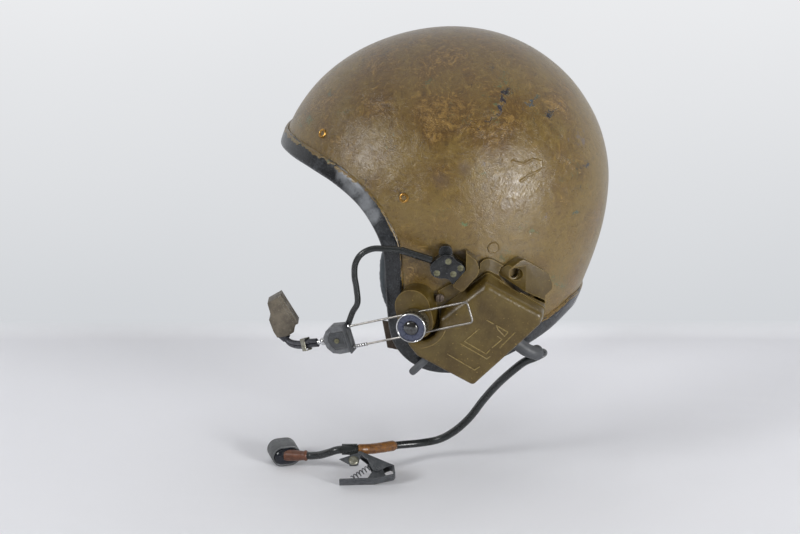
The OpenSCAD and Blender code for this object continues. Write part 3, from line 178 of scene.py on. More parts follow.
def finish(name, base, dark, patch_mm, rough, grain_mm, grain_depth_mm, metallic=0.0,
           edge=None, edge_mm=0.7, edge_rough=0.35, spread=0.08, share=0.5):
    """A moulded, painted or machined surface: uneven colour, changing gloss, grain in the
    surface, and, where edge is given, that colour showing along worn edges."""
    made, tree, shader = new_material(name, Metallic=metallic)
    where = add(tree, "TexCoord", {}, "Object")
    patches = add(tree, "TexNoise", {
        "Vector": where, "Scale": per(patch_mm), "Detail": 6, "Roughness": 0.62})
    colour = lay_over(tree, ink(base), dark, patches, share - 0.14, share + 0.14)
    gloss = add(tree, "MapRange", {
        0: patches, 1: 0.3, 2: 0.7, 3: rough - spread, 4: rough + spread})
    if edge:
        rounded = add(tree, "Bevel", {"Radius": edge_mm * MM}, samples=4)
        facing = add(tree, "NewGeometry", {}, "Normal")
        turn = add(tree, "VectorMath", {0: rounded, 1: facing}, "Value", operation="DOT_PRODUCT")
        grit = add(tree, "TexNoise", {"Vector": where, "Scale": per(WORN_GRIT_MM), "Detail": 4})
        worn = add(tree, "Math", {0: grit, 1: -0.22, 2: 1.085}, operation="MULTIPLY_ADD")
        edge_on = add(tree, "MapRange", {0: turn, 1: worn, 2: 0.93, 3: 0, 4: 1})
        colour = add(tree, "Mix", {0: edge_on, 6: colour, 7: ink(edge)}, 2, data_type="RGBA")
        gloss = add(tree, "Mix", {0: edge_on, 2: gloss, 3: edge_rough})
    grain = add(tree, "TexNoise", {"Vector": where, "Scale": per(grain_mm), "Detail": 4})
    set_surface(tree, shader, colour, gloss, grain, grain_depth_mm)
    return made


# ---------------------------------------------------------------- materials

# Olive enamel laid on with a brush over older coats: ridges of paint in all directions, a
# mottled green-brown, ochre flecks, chips down to the dark primer and pale scratches. Marks
# of single bristles, really about 0.2 mm wide, are too fine to show, and are drawn 0.55 to
# 0.9 mm wide.
def brushed_olive_enamel():
    made, tree, shader = new_material("brushed_olive_enamel", Specular_IOR_Level=0.7)
    where = add(tree, "TexCoord", {}, "Object")
    drift = add(tree, "TexNoise", {"Vector": where, "Scale": per(38), "Detail": 3}, "Color")
    swirl = add(tree, "VectorMath", {0: drift, 1: (0.045, 0.045, 0.045), 2: where},
                operation="MULTIPLY_ADD")
    # place, size in mm, detail, roughness and distortion of each pattern
    broad, blots, patches, mottle, fine, ragged, cloudy = (
        add(tree, "TexNoise", {"Vector": at, "Scale": per(size_mm), "Detail": detail,
                               "Roughness": rough, "Distortion": warp})
        for at, size_mm, detail, rough, warp in (
            (where, 42, 7, 0.6, 0), (where, 18, 2, 0.6, 0), (swirl, 24, 2, 0.6, 0),
            (swirl, 4.6, 8, 0.74, 0.4), (swirl, 1.3, 5, 0.7, 0.8), (where, 2.4, 6, 0.75, 1.5),
            (where, 9, 3, 0.6, 0)))
    # brush strokes in three directions, and one that is thin and long for scratches
    strokes = []
    for turn, width_mm, long_mm, detail, rough in (
            ((0.4, 0.2, 0.9), 0.7, 4.5, 4, 0.6), ((1.1, 0.7, -0.5), 0.9, 6, 4, 0.6),
            ((0.2, 1.9, 0.3), 0.55, 4, 4, 0.6), ((0.2, 1.3, 0.6), 0.8, 16, 2, 0.5)):
        along_brush = add(tree, "Mapping", {
            "Vector": swirl, "Rotation": turn,
            "Scale": (per(width_mm), per(long_mm), per(width_mm))})
        strokes.append(add(tree, "TexNoise", {
            "Vector": along_brush, "Scale": 1, "Detail": detail, "Roughness": rough}))
    ridges = strokes[0]
    for zone, low, high, other in (
            (blots, 0.44, 0.56, strokes[1]), (patches, 0.5, 0.6, strokes[2])):
        share = add(tree, "MapRange", {0: zone, 1: low, 2: high, 3: 0, 4: 1})
        ridges = add(tree, "Mix", {0: share, 2: ridges, 3: other})
    # browner on the upper side, where the top coat is thin
    crown = add(tree, "VectorMath", {0: where, 1: (0.07, 0.0, 0.135)}, "Value",
                operation="DISTANCE")
    upper = add(tree, "MapRange", {0: crown, 1: 0.13, 2: 0.03, 3: 0, 4: 1})
    thin_coat = add(tree, "Math", {0: upper, 1: 0.22, 2: broad}, operation="MULTIPLY_ADD")
    # ochre flecks where the brush lifted the coat below
    lifted = add(tree, "Math", {0: upper, 1: 0.16, 2: broad}, operation="MULTIPLY_ADD")
    lifted = add(tree, "Math", {0: lifted, 1: ridges}, operation="MULTIPLY")
    flecks = add(tree, "Math", {0: lifted, 1: mottle}, operation="MULTIPLY")
    rust = add(tree, "Math", {0: strokes[2], 1: mottle}, operation="MULTIPLY")
    colour = ink("6b5729")
    for code, pattern, low, high, most in (
            ("573f17", thin_coat, 0.48, 0.72, 1), ("7f6a35", mottle, 0.52, 0.64, 0.55),
            ("3f2d10", mottle, 0.46, 0.34, 0.7), ("7c6a38", fine, 0.56, 0.66, 0.5),
            ("432f12", fine, 0.44, 0.35, 0.5), ("94733a", flecks, 0.178, 0.215, 0.42),
            ("79501e", rust, 0.34, 0.4, 0.55)):
        colour = lay_over(tree, colour, code, pattern, low, high, most)
    # small chips and streaks: an old green coat, dark blue primer, brown filler
    for size_mm, spot_mm, start, code, seed, warp in (
            (4, 34, 0.375, "43573e", 3.1, 1.6), (2.6, 30, 0.385, "1f2c30", 7.7, 2.0),
            (2.2, 26, 0.375, "2c1b0e", 1.3, 1.2), (6, 40, 0.4, "5f5550", 5.2, 0.5)):
        shifted = add(tree, "VectorMath", {0: where, 1: (seed, 0, 0)}, operation="ADD")
        flakes = add(tree, "TexNoise", {"Vector": shifted, "Scale": per(size_mm), "Detail": 6,
                                        "Roughness": 0.7, "Distortion": warp})
        spots = add(tree, "TexNoise", {"Vector": shifted, "Scale": per(spot_mm), "Detail": 2,
                                       "Roughness": 0.6})
        both = add(tree, "Math", {0: flakes, 1: spots}, operation="MULTIPLY")
        colour = lay_over(tree, colour, code, both, start, start + 0.03, 0.8)
    # larger marks at their places: middle, reach to the back and up, how hard, colour
    shake = add(tree, "TexNoise", {"Vector": where, "Scale": per(5.5), "Detail": 2}, "Color")
    shaken = add(tree, "VectorMath", {0: shake, 1: 3 * (SHAKE_MM * MM,), 2: where},
                 operation="MULTIPLY_ADD")
    deep = 0.0
    for middle, back_mm, up_mm, hard, code in (
            ((76, 48.9, 130.9), 6.5, 4.0, 1, "17131a"),
            ((82.4, 46.5, 125.2), 3.6, 5.5, 1, "1b1622"),
            ((88, 43.4, 120.1), 3.4, 5.0, 1, "1c2233"),
            ((74.4, 68.7, 121.8), 7, 2.2, 0.9, "2f4450"),
            ((68.5, 73, 124.5), 5, 1.8, 0.8, "3b4a40"),
            ((72.7, 83.2, 111.8), 4.2, 4.6, 1, "191b22"),
            ((63.4, 89.4, 115.3), 4.5, 1.9, 0.8, "2b3138"),
            ((96.2, 34.2, 112.6), 3.2, 3.0, 1, "1b1a24"),
            ((100.1, 26.4, 108.7), 2.2, 3.4, 0.9, "33251f"),
            ((65.2, 115.2, 69.3), 4.5, 4.2, 1, "2a333c"),
            ((81.7, 105.1, 34.4), 5, 3.0, 0.9, "38504a"),
            ((106.1, 70.3, 26), 6, 2.4, 0.7, "5b6a4f"),
            ((119.9, 15.7, 36.7), 5.5, 3.2, 0.8, "55704c"),
            ((40, -89.7, 122.2), 3, 3, 0.7, "46513c")):
        apart = add(tree, "VectorMath", {
            0: shaken, 1: tuple((c + SHAKE_MM / 2) * MM for c in middle)}, operation="SUBTRACT")
        apart = add(tree, "VectorMath", {
            0: apart, 1: (per(CHIP_DEEP_MM), per(back_mm), per(up_mm))}, operation="MULTIPLY")
        near = add(tree, "VectorMath", {0: apart}, "Value", operation="LENGTH")
        near = add(tree, "Math", {0: near, 1: -1}, operation="MULTIPLY")
        near = add(tree, "Math", {0: ragged, 1: 2.6, 2: near}, operation="MULTIPLY_ADD")
        chip = add(tree, "MapRange", {0: near, 1: 0.72, 2: 0.86, 3: 0, 4: hard})
        colour = add(tree, "Mix", {0: chip, 6: colour, 7: ink(code)}, 2, data_type="RGBA")
        deep = add(tree, "Math", {0: deep, 1: chip}, operation="MAXIMUM")
    # soft purple-grey smudges
    for middle, reach_mm in (((113.8, 16.2, 80.5), 13), ((116.1, -3, 70.8), 14)):
        near = add(tree, "VectorMath", {0: where, 1: tuple(c * MM for c in middle)}, "Value",
                   operation="DISTANCE")
        soft = add(tree, "Math", {0: near, 1: -per(reach_mm), 2: cloudy}, operation="MULTIPLY_ADD")
        colour = lay_over(tree, colour, "54453a", soft, -0.1, 0.4, 0.6)
    # pale scratches
    scratch = add(tree, "Math", {0: strokes[3], 1: broad}, operation="MULTIPLY")
    colour = lay_over(tree, colour, "a68a55", scratch, 0.375, 0.42, 0.6)
    gloss = add(tree, "MapRange", {0: ridges, 1: 0.3, 2: 0.7, 3: 0.25, 4: 0.37})
    height = ridges
    for pattern, share in ((mottle, 0.5), (deep, -0.6), (fine, 0.35)):
        height = add(tree, "Math", {0: pattern, 1: share, 2: height}, operation="MULTIPLY_ADD")
    set_surface(tree, shader, colour, gloss, height, 0.3, 0.9)
    return made


# Neoprene edging: soft black with grey rubbed places, a pale painted highlight along the
# temple and a film of old paint at the cheek.
def neoprene_rubbed_and_highlit():
    made, tree, shader = new_material("neoprene_rubbed_and_highlit", Specular_IOR_Level=0.5)
    where = add(tree, "TexCoord", {}, "Object")
    cloudy, fine = (
        add(tree, "TexNoise", {"Vector": where, "Scale": per(size_mm), "Detail": detail,
                               "Roughness": 0.7})
        for size_mm, detail in ((16, 8), (1.6, 5)))
    rubbed = add(tree, "Math", {0: cloudy, 1: fine}, operation="MULTIPLY")
    colour = lay_over(tree, ink("17191c"), "3d4044", rubbed, 0.25, 0.38)
    # a painted highlight: a pale stretch along the temple, where the lamp shines on the rubber
    temple_painted_highlight = 0.0
    for middle, reach_mm in (((94.6, -76.6, 71.4), 15), ((101.5, -68.7, 61.2), 16),
                             ((106.7, -60.9, 50.6), 15), ((109.5, -55.5, 40.9), 11)):
        near = add(tree, "VectorMath", {0: where, 1: tuple(c * MM for c in middle)}, "Value",
                   operation="DISTANCE")
        near = add(tree, "MapRange", {0: near, 1: reach_mm * MM, 2: 4 * MM, 3: 0, 4: 0.5})
        temple_painted_highlight = add(tree, "Math", {0: temple_painted_highlight, 1: near}, operation="MAXIMUM")
    # the pale grey lies on the rubbed places and on the painted highlight at the temple
    patchy = add(tree, "Math", {0: cloudy, 1: 0.9, 2: temple_painted_highlight}, operation="MULTIPLY_ADD")
    colour = lay_over(tree, colour, "83868a", patchy, 0.6, 1.05, 0.8)
    # a brown-grey film of old paint at the cheek
    cheek = add(tree, "VectorMath", {0: where, 1: (0.1, -0.085, -0.012)}, "Value",
                operation="DISTANCE")
    cheek = add(tree, "MapRange", {0: cheek, 1: 0.05, 2: 0.012, 3: -0.5, 4: 0.35})
    film = add(tree, "Math", {0: cheek, 1: cloudy}, operation="ADD")
    colour = lay_over(tree, colour, "5d5344", film, 0.5, 0.75, 0.85)
    gloss = add(tree, "MapRange", {0: cloudy, 1: 0.3, 2: 0.7, 3: 0.2, 4: 0.38})
    set_surface(tree, shader, colour, gloss, fine, 0.07)
    return made


# Leather and vinyl: pebbled grain from cells, glossier where it is stretched. The pebbles,
# really 0.5 to 1 mm wide, are drawn a little coarser so that they show.
def pebbled_hide(name, base, dark, rough, grain_mm, depth_mm):
    made, tree, shader = new_material(name, Specular_IOR_Level=0.45)
    where = add(tree, "TexCoord", {}, "Object")
    cells = add(tree, "TexVoronoi", {"Vector": where, "Scale": per(grain_mm)}, "Distance",
                feature="DISTANCE_TO_EDGE")
    grain = add(tree, "MapRange", {0: cells, 1: 0.0, 2: 0.16, 3: 0, 4: 1})
    use = add(tree, "TexNoise", {"Vector": where, "Scale": per(22), "Detail": 6})
    colour = lay_over(tree, ink(base), dark, use, 0.35, 0.65)
    gloss = add(tree, "MapRange", {0: use, 1: 0.3, 2: 0.7, 3: rough - 0.08, 4: rough + 0.1})
    folds = add(tree, "TexNoise", {
        "Vector": where, "Scale": per(7), "Detail": 3, "Distortion": 0.8})
    height = add(tree, "Math", {0: folds, 1: 2.2, 2: grain}, operation="MULTIPLY_ADD")
    set_surface(tree, shader, colour, gloss, height, depth_mm)
    return made


# Cotton webbing: dull threads that cross, fuzzy and faded on the high threads. The threads,
# really about 0.6 mm apart, are too fine to show, and are drawn 1.1 mm apart.
def cotton_webbing():
    made, tree, shader = new_material("cotton_webbing", Sheen_Weight=0.3, Specular_IOR_Level=0.2)
    where = add(tree, "TexCoord", {}, "Object")
    warp, weft = (
        add(tree, "TexWave", {"Vector": where, "Scale": per(1.1) / 3.14, "Distortion": 0.6}, "Fac",
            bands_direction=direction)
        for direction in ("Y", "Z"))
    weave = add(tree, "Math", {0: warp, 1: weft}, operation="MULTIPLY")
    fuzz = add(tree, "TexNoise", {"Vector": where, "Scale": per(3), "Detail": 6})
    shade = add(tree, "Math", {0: weave, 1: fuzz}, operation="MULTIPLY")
    colour = lay_over(tree, ink("2e241b"), "5b4a39", shade, 0.0, 0.4)
    set_surface(tree, shader, colour, 0.85, weave, 0.2)
    return made


# Pale backdrop cloth that runs up behind the table; the camera sees the wall part glowing,
# with painted shade that darkens it towards the table, while the table part keeps the shadows.
# From its rear the wall is clear.
def backdrop_cloth():
    made, tree, shader = new_material("backdrop_cloth", Specular_IOR_Level=0.1)
    place = add(tree, "NewGeometry", {}, "Position")
    weave = add(tree, "TexNoise", {
        "Vector": place, "Scale": per(260), "Detail": 3, "Distortion": 0.6})
    set_surface(tree, shader, ink("e9eaee"), 0.9, weave, 9, 0.5)
    # painted shade on the glowing wall: darker towards the table, lighter higher up, in soft cloudy
    # patches
    height = add(tree, "SeparateXYZ", {0: place}, "Z")
    painted_shade_level = add(tree, "MapRange", {0: height, 1: FLOOR, 2: 0.25, 3: 0, 4: 1})
    cloud = add(tree, "TexNoise", {"Vector": place, "Scale": per(420), "Detail": 2})
    painted_shade_level = add(tree, "Math", {0: cloud, 1: 0.25, 2: painted_shade_level}, operation="MULTIPLY_ADD")
    wall = add(tree, "ValToRGB", {0: painted_shade_level},
               stops=[(0.05, "cfd2d6"), (0.45, "dcdee1"), (0.95, "ecedef")])
    glow = add(tree, "Emission", {"Color": wall, "Strength": 1})
    camera_ray, glossy_ray, glass_ray = (
        add(tree, "LightPath", {}, "Is " + kind + " Ray")
        for kind in ("Camera", "Glossy", "Transmission"))
    seen = add(tree, "Math", {0: camera_ray, 1: glossy_ray}, operation="MAXIMUM")
    seen = add(tree, "Math", {0: seen, 1: glass_ray}, operation="MAXIMUM")
    up = add(tree, "MapRange", {0: height, 1: FLOOR + 0.001, 2: FLOOR + 0.012, 3: 0, 4: 1})
    share = add(tree, "Math", {0: seen, 1: up}, operation="MULTIPLY")
    both = add(tree, "MixShader", {0: share, 1: shader.outputs[0], 2: glow})
    back = add(tree, "NewGeometry", {}, "Backfacing")
    rear = add(tree, "Math", {0: camera_ray, 1: back}, operation="SUBTRACT", use_clamp=True)
    both = add(tree, "MixShader", {0: rear, 1: both, 2: add(tree, "BsdfTransparent", {})})
    tree.links.new(both, tree.nodes["Material Output"].inputs["Surface"])
    return made


SHELL_PAINT = brushed_olive_enamel()
EDGE_RUBBER = neoprene_rubbed_and_highlit()
PAD_LEATHER = pebbled_hide("tanned_leather", "4c4239", "352d27", 0.55, 1.3, 0.12)
CUSHION_VINYL = pebbled_hide("stuffed_vinyl", "3b4348", "2b3035", 0.42, 1.6, 0.1)
WEBBING = cotton_webbing()

# The first size of each finish below is that of its colour patches and the second its grain,
# both in mm. Real castings, mouldings, platings, paints and rubbers have a grain of 0.05 to
# 0.3 mm, which is too fine to show, so theirs is drawn 0.5 to 2 mm wide, as coarse as it needs
# to show. The foam's beads, the felt's fibres and the thread's twist have their real sizes.

# Cast aluminium box under brushed enamel: glossier than the shell, yellower, rubbed edges.
BOX_PAINT = finish("enamelled_casting", "584920", "44340f", 16, 0.36, 2.0, 0.2,
                   edge="8a7440", edge_mm=0.9, edge_rough=0.34, spread=0.06)
# The same enamel worn thin on raised lines: yellower, drier.
RUBBED_PAINT = finish("enamel_worn_thin", "8d7a45", "62522a", 2.6, 0.36, 0.8, 0.08, share=0.52)
# Brass, turned and oxidised: warm metal with brown in the hollows.
RIVET_BRASS = finish("turned_brass", "c79b55", "7c5a2c", 3, 0.34, 0.9, 0.03, metallic=1)
# Expanded foam beads, pale and slightly yellowed.
LINER_FOAM = finish("expanded_foam", "c9c4b4", "b3ab97", 18, 0.85, 3.0, 0.5, spread=0.05)
# Polythene foam and felt: dull, open surface.
BACKING_FOAM = finish("grey_felt", "6b6862", "57544f", 8, 0.92, 0.8, 0.35, spread=0.03)
# Injection-moulded ABS: fine spark-eroded texture, slightly shiny.
CUP_PLASTIC = finish("moulded_abs", "2c2e31", "232527", 20, 0.42, 0.6, 0.03)
# Phenolic moulding: black, glossy, edges dulled to grey.
PLUG_PLASTIC = finish("phenolic_moulding", "191b1d", "111213", 7, 0.22, 1.4, 0.08,
                      edge="54575b", edge_mm=0.5, edge_rough=0.4)
# Sheet nitrile gasket.
GASKET_RUBBER = finish("sheet_nitrile", "2a2416", "171718", 10, 0.7, 0.7, 0.03)
# Steel screws, zinc plated, dulled.
SCREW_STEEL = finish("plated_steel", "8c8b74", "66634c", 2.5, 0.4, 0.6, 0.03, metallic=0.85)
# Oxidised steel screw head, brown and half dull.
DARK_SCREW = finish("blackened_steel", "7c6f64", "54493f", 2.5, 0.4, 0.6, 0.05, metallic=0.4)
# Moulded rubber elbow and boots: mid grey, dusty.
ELBOW_RUBBER = finish("moulded_rubber", "505256", "404245", 9, 0.5, 1.1, 0.06)
# Extruded neoprene cord: smooth, near-black with a clear shine.
CORD_RUBBER = finish("extruded_neoprene", "282b2c", "1c1e1e", 10, 0.24, 1.2, 0.05)
# Heat-shrunk sleeves: brown and red-brown, mottled and slightly wrinkled.
SLEEVE_BROWN = finish("shrunk_sleeve", "8a5f34", "54351d", 2.6, 0.3, 1.5, 0.16)
SLEEVE_RED = finish("shrunk_tip", "6c4431", "4a2c1f", 4, 0.36, 1.7, 0.14)
# Die-cast clamp under the knob: tan-grey, worn bright at its edges.
CLAMP_METAL = finish("zinc_casting", "8b8168", "655c49", 4, 0.45, 0.9, 0.05, metallic=0.8,
                     edge="8d8d88", edge_mm=0.4)
# Bronze-brown anodised knob rim.
KNOB_METAL = finish("anodised_rim", "5c584c", "45413a", 3, 0.42, 0.6, 0.04, metallic=0.7,
                    edge="8b8674", edge_mm=0.3)
# Nickel plate: bright, slightly clouded.
BRIGHT_NICKEL = finish("nickel_plate", "d6d7d9", "bcbdbf", 2.5, 0.2, 1.2, 0.006, metallic=1,
                       spread=0.05)
# Polished dark dome: mirrors the room, smoky between its highlights.
DARK_DOME = finish("blackened_nickel", "6f7072", "4c4b49", 2.5, 0.14, 1.2, 0.004, metallic=1,
                   spread=0.04)
# Stainless wire, drawn: bright with fine dull places.
DRAWN_WIRE = finish("drawn_stainless", "a5a29e", "827e79", 6, 0.33, 2.0, 0.006, metallic=1,
                    spread=0.04)
# Blue-black enamel disc, scuffed.
FACE_ENAMEL = finish("stoved_enamel", "343a4c", "43475a", 2.2, 0.3, 0.8, 0.04)
# Glass-filled nylon block, dark grey, edges rubbed pale.
BLOCK_NYLON = finish("filled_nylon", "66686b", "505255", 3.5, 0.42, 0.7, 0.06,
                     edge="85878a", edge_mm=0.35)
# The same nylon in black for the plate and the flange.
DARK_NYLON = finish("black_nylon", "424447", "333537", 3.5, 0.4, 0.7, 0.05,
                    edge="5c5e60", edge_mm=0.3)
# Painted microphone shell, grey-brown and dusty.
MIC_PAINT = finish("painted_shell", "665e51", "4f483e", 5, 0.5, 0.9, 0.07,
                   edge="9b968c", edge_mm=0.4)
# Tinned steel band round the rods: pale, yellowed.
BAND_METAL = finish("tinned_band", "a09f92", "7d7b6c", 2.2, 0.34, 0.7, 0.03, metallic=0.8)
# Rod cover, black rubber with a shine.
ROD_RUBBER = finish("dipped_rubber", "3a3b42", "2a2b30", 4, 0.3, 0.9, 0.05)
# Phosphated spring steel: dark grey, paler on the edges.
CLIP_STEEL = finish("phosphated_steel", "5d6064", "424548", 5, 0.36, 0.8, 0.05, metallic=0.5,
                    edge="84868a", edge_mm=0.35)
# Lacquered casting of the connector: mid grey, with a paler worn rim.
CON_METAL = finish("lacquered_casting", "595b5c", "484a4b", 8, 0.46, 1.2, 0.05, metallic=0.2,
                   edge="85888d", edge_mm=0.5)
# Moulded insert of the connector: near-black and shiny.
CON_INSERT = finish("moulded_insert", "181b24", "111319", 5, 0.22, 0.8, 0.04)
# Gilt contact pins.
PIN_GOLD = finish("gilt_pin", "cfae62", "a3803d", 2, 0.3, 0.5, 0.01, metallic=1)
# Waxed sewing thread, dull brown.
THREAD = finish("waxed_thread", "6d6353", "574e41", 1.5, 0.7, 0.4, 0.03)

# ---------------------------------------------------------------- the shell's own form

RIM_POINTS = [
    (-90, 122), (-70, 119.5), (-55, 116), (-42, 113), (-30, 112), (-20, 113.8), (-10, 117.7),
    (0, 124.5), (10, 130.5), (20, 134), (27, 133.2), (33, 129.5), (38, 123.5), (44, 114),
    (51, 105.3), (58, 98.6), (68, 91.2), (80, 88.5), (90, 88)]
LINER_POINTS = [(-90, 108), (-60, 99), (-30, 90), (0, 83), (30, 79), (60, 76), (90, 75)]
CENTRE = Vector((0, 10, 41))
TILT = math.radians(45)
CROWN = Vector((0, math.sin(TILT), math.cos(TILT)))
SIDE = Vector((1, 0, 0))
REAR = Vector((0, math.cos(TILT), -math.sin(TILT)))
# half sizes of the shell from CENTRE, in mm; below CENTRE it is nearly upright
HALF_WIDE, FRONT_REACH, REAR_REACH, RISE = 120, 145, 130, 126
SIDE_DROP, END_DROP = 340, 141
TUCK = 1 / END_DROP ** 2 - 1 / SIDE_DROP ** 2
WALL = 4


def curve(t, points):
    """Height of the smooth curve through the points."""
    i = 0
    while i < len(points) - 2 and t > points[i + 1][0]:
        i += 1

    def lean(k):
        if k in (0, len(points) - 1):
            return 0
        return (points[k + 1][1] - points[k - 1][1]) / (points[k + 1][0] - points[k - 1][0])

    h = points[i + 1][0] - points[i][0]
    u = min(1, max(0, (t - points[i][0]) / h))
    return ((2 * u ** 3 - 3 * u ** 2 + 1) * points[i][1] + (u ** 3 - 2 * u ** 2 + u) * lean(i) * h
            + (3 * u ** 2 - 2 * u ** 3) * points[i + 1][1] + (u ** 3 - u ** 2) * lean(i + 1) * h)


def fold(bearing):
    """The bearing's like on the wearer's left side, from -90 in front to 90 behind."""
    m = (bearing + 90) % 360
    return m - 90 if m <= 180 else 270 - m


def rim(bearing):
    """How far down from the crown the shell ends, in degrees."""
    return curve(fold(bearing), RIM_POINTS)


def skin(bearing, angle, off):
    """A point on the shell's surface moved out by off, in millimetres."""
    az, al = math.radians(bearing), math.radians(angle)
    d = CROWN * math.cos(al) + (SIDE * math.cos(az) + REAR * math.sin(az)) * math.sin(al)
    a = HALF_WIDE + off
    b = (FRONT_REACH if d.y < 0 else REAR_REACH) + off
    c = (SIDE_DROP if d.z < 0 else RISE) + off
    g = d.x ** 2 / a ** 2 + d.y ** 2 / b ** 2 + d.z ** 2 / c ** 2
    k = d.z ** 2 * d.y ** 2 / b ** 2 * TUCK if d.z < 0 else 0
    return CENTRE + d * math.sqrt(2 / (g + math.sqrt(g * g + 4 * k)))


def skin_x(y, z, off):
    """The side of the shell at a height and depth: how far out it is."""
    y, z = y - CENTRE.y, z - CENTRE.z
    b = (FRONT_REACH if y < 0 else REAR_REACH) + off
    c = (SIDE_DROP if z < 0 else RISE) + off
    s, q = y ** 2 / b ** 2, z ** 2
    k = q * s * TUCK if z < 0 else 0
    return (HALF_WIDE + off) * math.sqrt(max(0.01, 1 - s - q / c ** 2 - k))


def from_rim(bearing, away, off):
    """A point at a distance from the rim, measured along the shell."""
    m = (rim(bearing + 1.5) - rim(bearing - 1.5)) / 3 / math.sin(math.radians(rim(bearing)))
    span = away * math.sqrt(1 + m * m) / (skin(bearing, rim(bearing), off) - CENTRE).length
    return skin(bearing, rim(bearing) - math.degrees(span), off)


# ---------------------------------------------------------------- making pieces

def piece(name, points, faces, material, body, slot, stands_for=(), smooth_deg=60):
    """A mesh piece from points in millimetres, smooth up to an angle."""
    mesh = bpy.data.meshes.new(name)
    mesh.from_pydata([Vector(p) * MM for p in points], [], faces)
    mesh.validate()
    return dressed(name, mesh, material, body, stands_for, smooth_deg)


def dressed(name, mesh, material, body, stands_for, smooth_deg):
    """Puts a mesh in the scene with its material and body."""
    shape = bmesh.new()
    shape.from_mesh(mesh)
    bmesh.ops.recalc_face_normals(shape, faces=shape.faces)
    for face in shape.faces:
        face.smooth = True
    for edge in shape.edges:
        if len(edge.link_faces) == 2:
            edge.smooth = edge.calc_face_angle(0) < math.radians(smooth_deg)
    shape.to_mesh(mesh)
    shape.free()
    obj = bpy.data.objects.new(name, mesh)
    scene.collection.objects.link(obj)
    mesh.materials.clear()
    mesh.materials.append(material)
    if body:
        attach(obj, body)
    if stands_for:
        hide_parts(*stands_for)
    return obj


def refine(node, material, width_mm, angle_deg=32, segments=2):
    """A solid's own shape with its edges rounded, in place of the solid."""
    shape = bmesh.new()
    shape.from_mesh(NODES[node].data)
    bmesh.ops.remove_doubles(shape, verts=shape.verts, dist=2e-6)
    bmesh.ops.dissolve_limit(shape, angle_limit=math.radians(1.2), verts=shape.verts,
                             edges=shape.edges)
    hard = [e for e in shape.edges
            if len(e.link_faces) == 2 and e.calc_face_angle(0) > math.radians(angle_deg)]
    if hard and width_mm:
        bmesh.ops.bevel(shape, geom=hard, offset=width_mm * MM, segments=segments, profile=0.5,
                        affect="EDGES", clamp_overlap=True)
    mesh = bpy.data.meshes.new(node + "_rounded")
    shape.to_mesh(mesh)
    shape.free()
    return dressed(node + "_rounded", mesh, material, NODES[node]["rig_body"], [node], 38)


def band_faces(a, b, n, closed=True):
    """Quads between two rows of points that start at a and b."""
    return [(a + j, a + (j + 1) % n, b + (j + 1) % n, b + j) for j in range(n if closed else n - 1)]


def skinned(rings, loop=False):
    """Points and faces of a skin through rings of points; a ring's open ends are closed."""
    k, n = len(rings[0]), len(rings)
    faces = []
    for i in range(n if loop else n - 1):
        faces += band_faces(i * k, ((i + 1) % n) * k, k)
    if not loop:
        faces += [tuple(range(k)), tuple(range(n * k - 1, (n - 1) * k - 1, -1))]
    return [p for r in rings for p in r], faces


def rings_piece(name, rings, material, body, slot, stands_for=(), loop=False, smooth_deg=60):
    return piece(name, *skinned(rings, loop), material, body, slot, stands_for, smooth_deg)


def slab_faces(wide, rows):
    """Faces of a slab whose front and back are grids, and the front points round its border."""
    size = wide * rows
    faces = []
    for i in range(rows - 1):
        for face in band_faces(i * wide, (i + 1) * wide, wide, False):
            faces += [face, tuple(q + size for q in face)]
    border = (list(range(wide)) + [i * wide + wide - 1 for i in range(1, rows)]
              + [size - wide + j for j in range(wide - 2, -1, -1)]
              + [i * wide for i in range(rows - 2, 0, -1)])
    for a, b in zip(border, border[1:] + border[:1]):
        faces.append((a, b, b + size, a + size))
    return faces, border


def spokes(count):
    """Cosine and sine of evenly spaced angles."""
    return [(math.cos(2 * math.pi * k / count), math.sin(2 * math.pi * k / count))
            for k in range(count)]


def along(points, t):
    """A point on the smooth line through points."""
    last = len(points) - 1
    i = min(last - 1, int(t))
    u = t - i
    p1, p2 = Vector(points[i]), Vector(points[i + 1])
    p0 = Vector(points[i - 1]) if i > 0 else 2 * p1 - p2
    p3 = Vector(points[i + 2]) if i < last - 1 else 2 * p2 - p1
    return 0.5 * (2 * p1 + (p2 - p0) * u + (2 * p0 - 5 * p1 + 4 * p2 - p3) * u ** 2
                  + (3 * p1 - p0 - 3 * p2 + p3) * u ** 3)


def route(points, start, stop, steps):
    """Points along the smooth line between two of its places."""
    count = round((stop - start) * steps)
    return [along(points, start + (stop - start) * i / count) for i in range(count + 1)]


def tube_rings(path, radii, sides):
    """Rings of points round a path; radii is one radius or one for each point."""
    radii = radii if isinstance(radii, list) else [radii] * len(path)
    rings = []
    across = None
    for i, p in enumerate(path):
        way = (path[min(len(path) - 1, i + 1)] - path[max(0, i - 1)]).normalized()
        if across is None:
            across = way.cross(Vector((0, 0, 1)) if abs(way.z) < 0.8 else Vector((1, 0, 0)))
        across = (across - way * across.dot(way)).normalized()
        up = way.cross(across)
        rings.append([p + radii[i] * (across * c + up * s) for c, s in spokes(sides)])
    return rings


def tube(name, path, radii, sides, material, body, slot, stands_for=(), smooth_deg=50):
    return rings_piece(name, tube_rings(path, radii, sides), material, body, slot, stands_for,
                       smooth_deg=smooth_deg)


def turned(place, profile, sides, hollow=False):
    """Points and faces of a turned form; profile is (radius, height) up the local axis."""
    return skinned([[place @ Vector((r * c, r * s, z)) for c, s in spokes(sides)]
                    for r, z in profile], hollow)


def lathe(name, place, profile, sides, material, body, slot, stands_for=(), smooth_deg=40,
          hollow=False):
    """A turned piece; a hollow one has a bore."""
    return piece(name, *turned(place, profile, sides, hollow), material, body, slot, stands_for,
                 smooth_deg)


